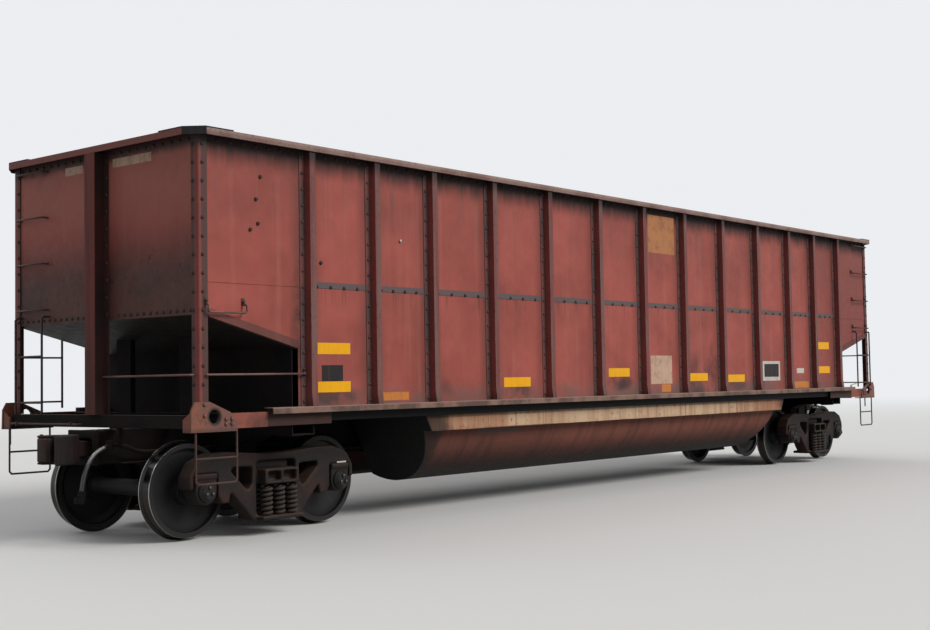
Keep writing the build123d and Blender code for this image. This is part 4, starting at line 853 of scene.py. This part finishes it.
def coilMesh(s, height):
    bm = bmesh.new()
    count = int(s["turns"] * s["stepsPerTurn"])
    ring = bmesh.ops.create_circle(bm, cap_ends=False, segments=s["sides"], radius=s["wire"])["verts"]
    bmesh.ops.rotate(bm, cent=(0, 0, 0), matrix=Matrix.Rotation(math.pi / 2, 3, "X"), verts=ring)
    bmesh.ops.translate(bm, vec=(s["radius"], 0, s["wire"]), verts=ring)
    lift = (height - 2 * s["wire"]) / count
    bmesh.ops.spin(bm, geom=ring + bm.edges[:], cent=(0, 0, 0), axis=(0, 0, 1), dvec=(0, 0, lift),
                   angle=2 * math.pi * s["turns"], steps=count, use_merge=False, use_duplicate=False)
    closeHoles(bm)
    bmesh.ops.recalc_face_normals(bm, faces=bm.faces[:])
    return meshFrom("coil", bm)


def springSpots(side, s):
    spots = []
    for across in (-1, 1):
        for row in (-1, 0, 1):
            for column in (-1, 0, 1):
                x = side * wagon["truckX"] + column * s["pitchX"]
                spots.append(((x, across * s["journalY"] + row * s["pitchY"], s["bottom"]), (0, 0, 1)))
    return spots


springHeight = springSettings["top"] - springSettings["bottom"]
outerCoil = coilMesh(springSettings["outer"], springHeight)
innerCoil = coilMesh(springSettings["inner"], springHeight)
for end, side in (("a", -1), ("b", 1)):
    makeWearPads(end, side, padSettings)
    spots = springSpots(side, springSettings)
    scatter("outerSprings" + end.upper(), outerCoil, spots, "spring_steel", "truck_" + end,
            ["springs_" + end])
    scatter("innerSprings" + end.upper(), innerCoil, spots, "spring_steel", "truck_" + end)
print("springs wound")


# rivets and bolts: one small head each kind, set out along its rows
rivetSettings = {
    "radius": 0.019,
    "height": 0.015,
    "sides": 8,
    "rings": 6,
    "postPitch": 0.165,
    "postEnds": (0.045, 0.050),     # over the sill, under the chord
    "cornerPitch": 0.165,
    "cornerColumns": (7.436, 1.444),    # along the side's leg, across the end's leg
    "cornerLowest": 1.50,
    "endPitch": 0.100,
    "endColumn": 0.115,             # from the middle, beside the end post
    "endColumnOut": 0.008,
    "endLowest": 2.20,
    "endRow": (0.19, 1.39, 2.183),  # from, to and height of the row at the end sheet's foot
    "seamEnds": (0.16, 0.20),
    "seamDrop": 0.017,
    "seamOut": 0.005,
    "seamCount": 3,
    "firstDown": 0.075,
    "chordDrop": 0.022,
    "chordEndRow": (0.21, 1.38, 0.13),      # from, to and pitch
    "chordSideEnds": (0.13, 0.16),
    "chordSidePitch": 0.15,
    "chordReach": 7.377,
}
boltSettings = {
    "radius": 0.019,
    "height": 0.016,
    "sides": 6,
    "chamfer": 0.14,                # share of the radius
    "gusset": ((7.457, 1.318), (7.457, 1.217), (7.207, 1.182), (7.137, 1.182), (7.207, 1.136),
               (7.137, 1.136)),
    "sheet": ((-6.722, 3.484), (-6.779, 3.264), (-6.756, 3.032), (-6.853, 2.967), (-5.93, 2.70)),
    "plug": (-4.749, 3.002),
    "capRadius": 0.040,
    "capFace": 1.150,
    "capTurns": (90, 210, 330),
}
footSettings = {
    "pad": (0.040, 0.072, 0.008),
    "round": 0.003,
    "head": (0.017, 0.015, 0.016),  # lower and upper radius, depth
    "near": ((-7.404, 2.272), (-6.951, 2.272), (-6.184, 1.600)),
    "rungs": (3.725, 3.248, 2.771, 2.294),
    "rungEnds": (7.390, 6.865),
    "rungRise": 0.030,
    "postReach": 7.37,              # further out a foot stands on the corner post
    "sides": 6,
}


def rivetHead(s):
    bm = bmesh.new()
    bmesh.ops.create_uvsphere(bm, u_segments=s["sides"], v_segments=s["rings"], radius=s["radius"])
    bmesh.ops.bisect_plane(bm, geom=bm.verts[:] + bm.edges[:] + bm.faces[:], plane_co=(0, 0, 0),
                           plane_no=(0, 0, 1), clear_inner=True)
    closeHoles(bm)
    bmesh.ops.scale(bm, vec=(1, 1, s["height"] / s["radius"]), verts=bm.verts)
    return meshFrom("rivetHead", bm)


def boltHead(s):
    bm = bmesh.new()
    bmesh.ops.create_cone(bm, cap_ends=True, cap_tris=False, segments=s["sides"], radius1=s["radius"],
                          radius2=s["radius"], depth=s["height"])
    bmesh.ops.translate(bm, vec=(0, 0, s["height"] / 2), verts=bm.verts)
    upper = [edge for edge in bm.edges if all(vert.co.z > s["height"] * 0.9 for vert in edge.verts)]
    softenEdges(bm, upper, s["radius"] * s["chamfer"])
    return meshFrom("boltHead", bm)


def steps(start, stop, pitch):
    count = max(1, round(abs(stop - start) / pitch))
    return [start + (stop - start) * step / count for step in range(count + 1)]


def bothHands(spots):
    # the spots and their copies turned half round the upright axis
    turned = [((-x, -y, z), (-nx, -ny, nz)) for (x, y, z), (nx, ny, nz) in spots]
    return spots + turned


def postRivets(s):
    spots = []
    over, under = s["postEnds"]
    for place in wagon["postPlaces"]:
        for x in {place, -place}:
            for z in steps(wagon["sillTop"] + over, wagon["chordBottom"] - under, s["postPitch"]):
                spots.append(((x - wagon["postFoot"] / 2, -wagon["postFace"], z), (0, -1, 0)))
    return bothHands(spots)


def cornerRivets(s):
    spots = []
    top = wagon["chordBottom"] - s["firstDown"]
    alongSide, acrossEnd = s["cornerColumns"]
    for side in (1, -1):
        for z in steps(top, s["cornerLowest"], s["cornerPitch"]):
            spots.append(((side * alongSide, -wagon["cornerSide"], z), (0, -1, 0)))
        for z in steps(top, s["cornerLowest"], s["cornerPitch"]):
            spots.append(((side * wagon["cornerEnd"], -acrossEnd, z), (side, 0, 0)))
    return bothHands(spots)


def endRivets(s):
    spots = []
    sheetEnd = wagon["endFace"]
    start, stop, height = s["endRow"]
    for side in (-1, 1):
        for z in steps(wagon["chordBottom"] - s["firstDown"], s["endLowest"], s["cornerPitch"]):
            spots.append(((sheetEnd + s["endColumnOut"], side * s["endColumn"], z), (1, 0, 0)))
    for side in (-1, 1):
        for y in steps(side * start, side * stop, s["endPitch"]):
            spots.append(((sheetEnd, y, height), (1, 0, 0)))
    return bothHands(spots)


def bothSides():
    # the posts' places at both ends of the wagon, in order
    return sorted({side * place for place in wagon["postPlaces"] for side in (1, -1)})


def seamRivets(s):
    spots = []
    webs = bothSides()
    fromLeft, fromRight = s["seamEnds"]
    face = -wagon["sideFace"] - s["seamOut"]
    for left, right in zip(webs, webs[1:]):
        span = right - left - fromLeft - fromRight
        for x in steps(left + fromLeft, right - fromRight, span / s["seamCount"]):
            spots.append(((x, face, wagon["seam"] - s["seamDrop"]), (0, -1, 0)))
    return bothHands(spots)


def chordRivets(s):
    # rivets under the chords, along the tops of the end and side sheets
    z = wagon["chordBottom"] - s["chordDrop"]
    spots = []
    start, stop, pitch = s["chordEndRow"]
    for side in (-1, 1):
        for y in steps(side * start, side * stop, pitch):
            spots.append(((wagon["endFace"], y, z), (1, 0, 0)))
    webs = [-s["chordReach"]] + bothSides() + [s["chordReach"]]
    fromLeft, fromRight = s["chordSideEnds"]
    for left, right in zip(webs, webs[1:]):
        for x in steps(left + fromLeft, right - fromRight, s["chordSidePitch"]):
            spots.append(((x, -wagon["sideFace"], z), (0, -1, 0)))
    return bothHands(spots)


def gussetBolts(s):
    places = [(side * x, z) for side in (1, -1) for x, z in s["gusset"]]
    return bothHands([((x, -wagon["gussetFace"], z), (0, -1, 0)) for x, z in places])


def capBolts(s):
    # three bolts in each axle's end cap
    rows = {}
    for number, x in enumerate(axlePlaces, 1):
        spots = []
        for side in (1, -1):
            for turn in s["capTurns"]:
                out = s["capRadius"] * math.cos(math.radians(turn))
                up = s["capRadius"] * math.sin(math.radians(turn))
                spots.append(((x + out, side * s["capFace"], axleHeight + up), (0, side, 0)))
        rows["wheelset_%d" % number] = spots
    return rows


def sheetSpots(places):
    return [((x, -wagon["sideFace"], z), (0, -1, 0)) for x, z in places]


def barFeet(s):
    # where grab irons, handrails and rungs meet the side sheet and the corner posts
    places = list(s["near"]) + [(x, z + s["rungRise"]) for z in s["rungs"] for x in s["rungEnds"]]
    spots = []
    for x, z in places:
        face = wagon["cornerSide"] if abs(x) > s["postReach"] else wagon["sideFace"]
        spots.append(((x, -face, z), (0, -1, 0)))
    return bothHands(spots)


def footPad(s):
    # a flattened bar end with a bolt through it
    bm = bmesh.new()
    bmesh.ops.create_cube(bm, size=1.0)
    bmesh.ops.scale(bm, vec=s["pad"], verts=bm.verts)
    softenEdges(bm, bm.edges[:], s["round"])
    bmesh.ops.translate(bm, vec=(0, 0, s["pad"][2] / 2), verts=bm.verts)
    lower, upper, depth = s["head"]
    head = bmesh.ops.create_cone(bm, cap_ends=True, segments=s["sides"], radius1=lower, radius2=upper,
                                 depth=depth)
    bmesh.ops.translate(bm, vec=(0, 0, s["pad"][2] + depth / 2), verts=head["verts"])
    return meshFrom("footPad", bm)


rivet = rivetHead(rivetSettings)
bolt = boltHead(boltSettings)
bodyHeads = {
    "sheetBolts": (bolt, sheetSpots(boltSettings["sheet"]), "rivet", "body_red"),
    "brightPlug": (bolt, sheetSpots([boltSettings["plug"]]), "brightSteel", "body_red"),
    "barFeet": (footPad(footSettings), barFeet(footSettings), "darkBar", "iron_bar"),
    "postRivets": (rivet, postRivets(rivetSettings), "redRivet", "post_red"),
    "cornerRivets": (rivet, cornerRivets(rivetSettings), "rivet", "post_red"),
    "endRivets": (rivet, endRivets(rivetSettings), "rivet", "post_red"),
    "seamRivets": (rivet, seamRivets(rivetSettings), "rivet", "body_red"),
    "chordRivets": (rivet, chordRivets(rivetSettings), "rivet", "body_red"),
    "gussetBolts": (bolt, gussetBolts(boltSettings), "gusset", "post_red"),
}
for name, (head, spots, finish, slot) in bodyHeads.items():
    scatter(name, head, spots, finish, "wagon_body")
for body, spots in capBolts(boltSettings).items():
    scatter("capBolts" + body[-1], bolt, spots, "bolt", body)
print("rivets and bolts set")


# a small white lever on the near sill, by the far truck
leverSettings = {
    "foot": (6.640, -1.560, 1.270),
    "reach": 0.190,
    "rise": 0.030,
    "radius": 0.009,
    "pin": (0.016, 0.013, 0.040),   # lower and upper radius, height
    "pinMiddle": 0.018,
    "armHeight": 0.028,
    "knob": 0.016,
    "sides": 12,
}


def makeLever(s):
    bm = bmesh.new()
    x, y, z = s["foot"]
    lower, upper, height = s["pin"]
    pin = bmesh.ops.create_cone(bm, cap_ends=True, segments=s["sides"], radius1=lower, radius2=upper,
                                depth=height)["verts"]
    bmesh.ops.translate(bm, vec=(x, y, z + s["pinMiddle"]), verts=pin)
    z += s["armHeight"]
    arm = bmesh.ops.create_cone(bm, cap_ends=True, segments=s["sides"], radius1=s["radius"],
                                radius2=s["radius"], depth=s["reach"])["verts"]
    bmesh.ops.translate(bm, vec=(0, 0, s["reach"] / 2), verts=arm)
    tilt = Vector((s["reach"], 0, s["rise"])).to_track_quat("Z", "Y").to_matrix().to_4x4()
    bmesh.ops.transform(bm, matrix=Matrix.Translation((x, y, z)) @ tilt, verts=arm)
    knob = bmesh.ops.create_uvsphere(bm, u_segments=s["sides"], v_segments=8, radius=s["knob"])["verts"]
    bmesh.ops.translate(bm, vec=(x + s["reach"], y, z + s["rise"]), verts=knob)
    finishPiece("sillLever", bm, "white", "wagon_body")


makeLever(leverSettings)


# bare strips and panels of paint on the side that the photograph shows, and on the end
patchSettings = {
    "thickness": 0.0016,
    "side": (  # from, to along the wagon, lower and upper edge, finish
        (-5.985, -5.525, 1.785, 1.899, "yellow"), (-5.985, -5.525, 1.402, 1.510, "yellow"),
        (-5.931, -5.633, 1.512, 1.674, "blackPatch"), (-5.064, -4.640, 1.301, 1.388, "orange"),
        (-2.985, -2.470, 1.411, 1.523, "yellow"), (-0.783, -0.285, 1.510, 1.622, "yellow"),
        (0.245, 0.930, 3.199, 3.718, "tanPatch"), (0.245, 0.795, 1.403, 1.790, "palePatch"),
        (0.514, 0.755, 1.292, 1.396, "orange"), (1.280, 1.785, 1.431, 1.542, "yellow"),
        (2.380, 2.900, 1.404, 1.514, "yellow"), (3.490, 4.070, 1.410, 1.714, "white"),
        (4.661, 4.920, 1.521, 1.600, "white"), (4.574, 5.085, 1.285, 1.387, "orange"),
        (5.470, 5.890, 1.914, 2.030, "yellow"), (5.460, 5.900, 1.515, 1.628, "yellow"),
    ),
    "inset": ((3.540, 4.020, 1.470, 1.670, "blackPatch"),),
    "end": ((-0.820, -0.205, 3.636, 3.722, "palePatch"), (0.300, 0.600, 3.640, 3.722, "palePatch")),
    "frame": ((-5.325, -5.190, 0.655, 0.671, "white"),),     # a bright strip over the near truck's inner axle
    "frameFace": 1.0985,
}


def makePatches(s):
    def slab(name, corners, finish, body="wagon_body"):
        lows, highs = corners
        bm = bmesh.new()
        bmesh.ops.create_cube(bm, size=1.0)
        size = [high - low for low, high in zip(lows, highs)]
        bmesh.ops.scale(bm, vec=size, verts=bm.verts)
        bmesh.ops.translate(bm, vec=[(low + high) / 2 for low, high in zip(lows, highs)], verts=bm.verts)
        piece = finishPiece(name, bm, finish, body)
        piece.data.shade_flat()

    face = wagon["sideFace"]
    half = s["thickness"] / 2
    for number, (left, right, low, high, finish) in enumerate(s["side"], 1):
        slab("sidePatch%d" % number, ((left, -face - half, low), (right, -face + half, high)), finish)
    for number, (left, right, low, high, finish) in enumerate(s["inset"], 1):
        slab("sideInset%d" % number, ((left, -face - 2 * half, low), (right, -face + half, high)), finish)
    face = s["frameFace"]
    for number, (left, right, low, high, finish) in enumerate(s["frame"], 1):
        corners = (left, -face - half, low), (right, -face + 4 * half, high)
        slab("frameStrip%d" % number, corners, finish, "truck_a")
    face = wagon["endFace"]
    for number, (left, right, low, high, finish) in enumerate(s["end"], 1):
        slab("endPatch%d" % number, ((-face - half, left, low), (-face + half, right, high)), finish)


makePatches(patchSettings)
print("strips laid")


# floor, backdrop and lights
stageSettings = {
    "floor": srgb(216, 214, 210),
    "floorBounce": srgb(120, 118, 116),
    "backdrop": srgb(236, 238, 241),
    "sky": srgb(236, 240, 246),
    "skyStrength": 0.50,
    "floorSize": 400.0,
    "fade": (16.0, 75.0),       # how far out the floor turns into the backdrop
    "sunFrom": (0.30, -1.0, 0.72),
    "sunStrength": 2.3,
    "sunAngle": 28.0,
    "fillFrom": (0.15, 1.0, 1.0),
    "fillStrength": 0.55,
    "fillAngle": 60.0,
}


def seenRays(tree):
    # 1 for rays from the camera and for those that metal and glass show
    path = tree.nodes.new("ShaderNodeLightPath")
    camera, glossy, clear = (Field(tree, path.outputs[name])
                             for name in ("Is Camera Ray", "Is Glossy Ray", "Is Transmission Ray"))
    return camera.higher(glossy).higher(clear)


def makeStage(s):
    bm = bmesh.new()
    bmesh.ops.create_grid(bm, x_segments=1, y_segments=1, size=s["floorSize"] / 2)
    mesh = meshFrom("floor", bm)
    floor = bpy.data.objects.new("floor", mesh)
    bpy.context.scene.collection.objects.link(floor)
    f = Finish("floorPaint", Roughness=0.9, Specular_IOR_Level=0.1)
    seen = seenRays(f.tree)
    f.colour(seen.blend(s["floorBounce"], s["floor"]))
    far = (f.x ** 2.0 + f.y ** 2.0) ** 0.5
    haze = f.tree.nodes.new("ShaderNodeEmission")
    haze.inputs["Color"].default_value = (*s["backdrop"], 1.0)
    fade = f.tree.nodes.new("ShaderNodeMixShader")
    f.tree.links.new((far.ramp(*s["fade"]) * seen).socket, fade.inputs[0])
    f.tree.links.new(f.shader.outputs[0], fade.inputs[1])
    f.tree.links.new(haze.outputs[0], fade.inputs[2])
    f.tree.links.new(fade.outputs[0], f.tree.nodes["Material Output"].inputs["Surface"])
    mesh.materials.append(f.material)
    world = bpy.data.worlds.new("sky")
    bpy.context.scene.world = world
    world.use_nodes = True
    tree = world.node_tree
    light = tree.nodes["Background"]
    light.inputs["Color"].default_value = (*s["sky"], 1.0)
    light.inputs["Strength"].default_value = s["skyStrength"]
    shown = tree.nodes.new("ShaderNodeBackground")
    shown.inputs["Color"].default_value = (*s["backdrop"], 1.0)
    mix = tree.nodes.new("ShaderNodeMixShader")
    tree.links.new(seenRays(tree).socket, mix.inputs[0])
    tree.links.new(light.outputs[0], mix.inputs[1])
    tree.links.new(shown.outputs[0], mix.inputs[2])
    tree.links.new(mix.outputs[0], tree.nodes["World Output"].inputs["Surface"])
    for name in ("sun", "fill"):
        lamp = bpy.data.lights.new(name, "SUN")
        lamp.energy = s[name + "Strength"]
        lamp.angle = math.radians(s[name + "Angle"])
        light = bpy.data.objects.new(name, lamp)
        light.matrix_world = Vector(s[name + "From"]).to_track_quat("Z", "Y").to_matrix().to_4x4()
        bpy.context.scene.collection.objects.link(light)
    bpy.context.scene.view_settings.view_transform = "Standard"


makeStage(stageSettings)
print("stage set")
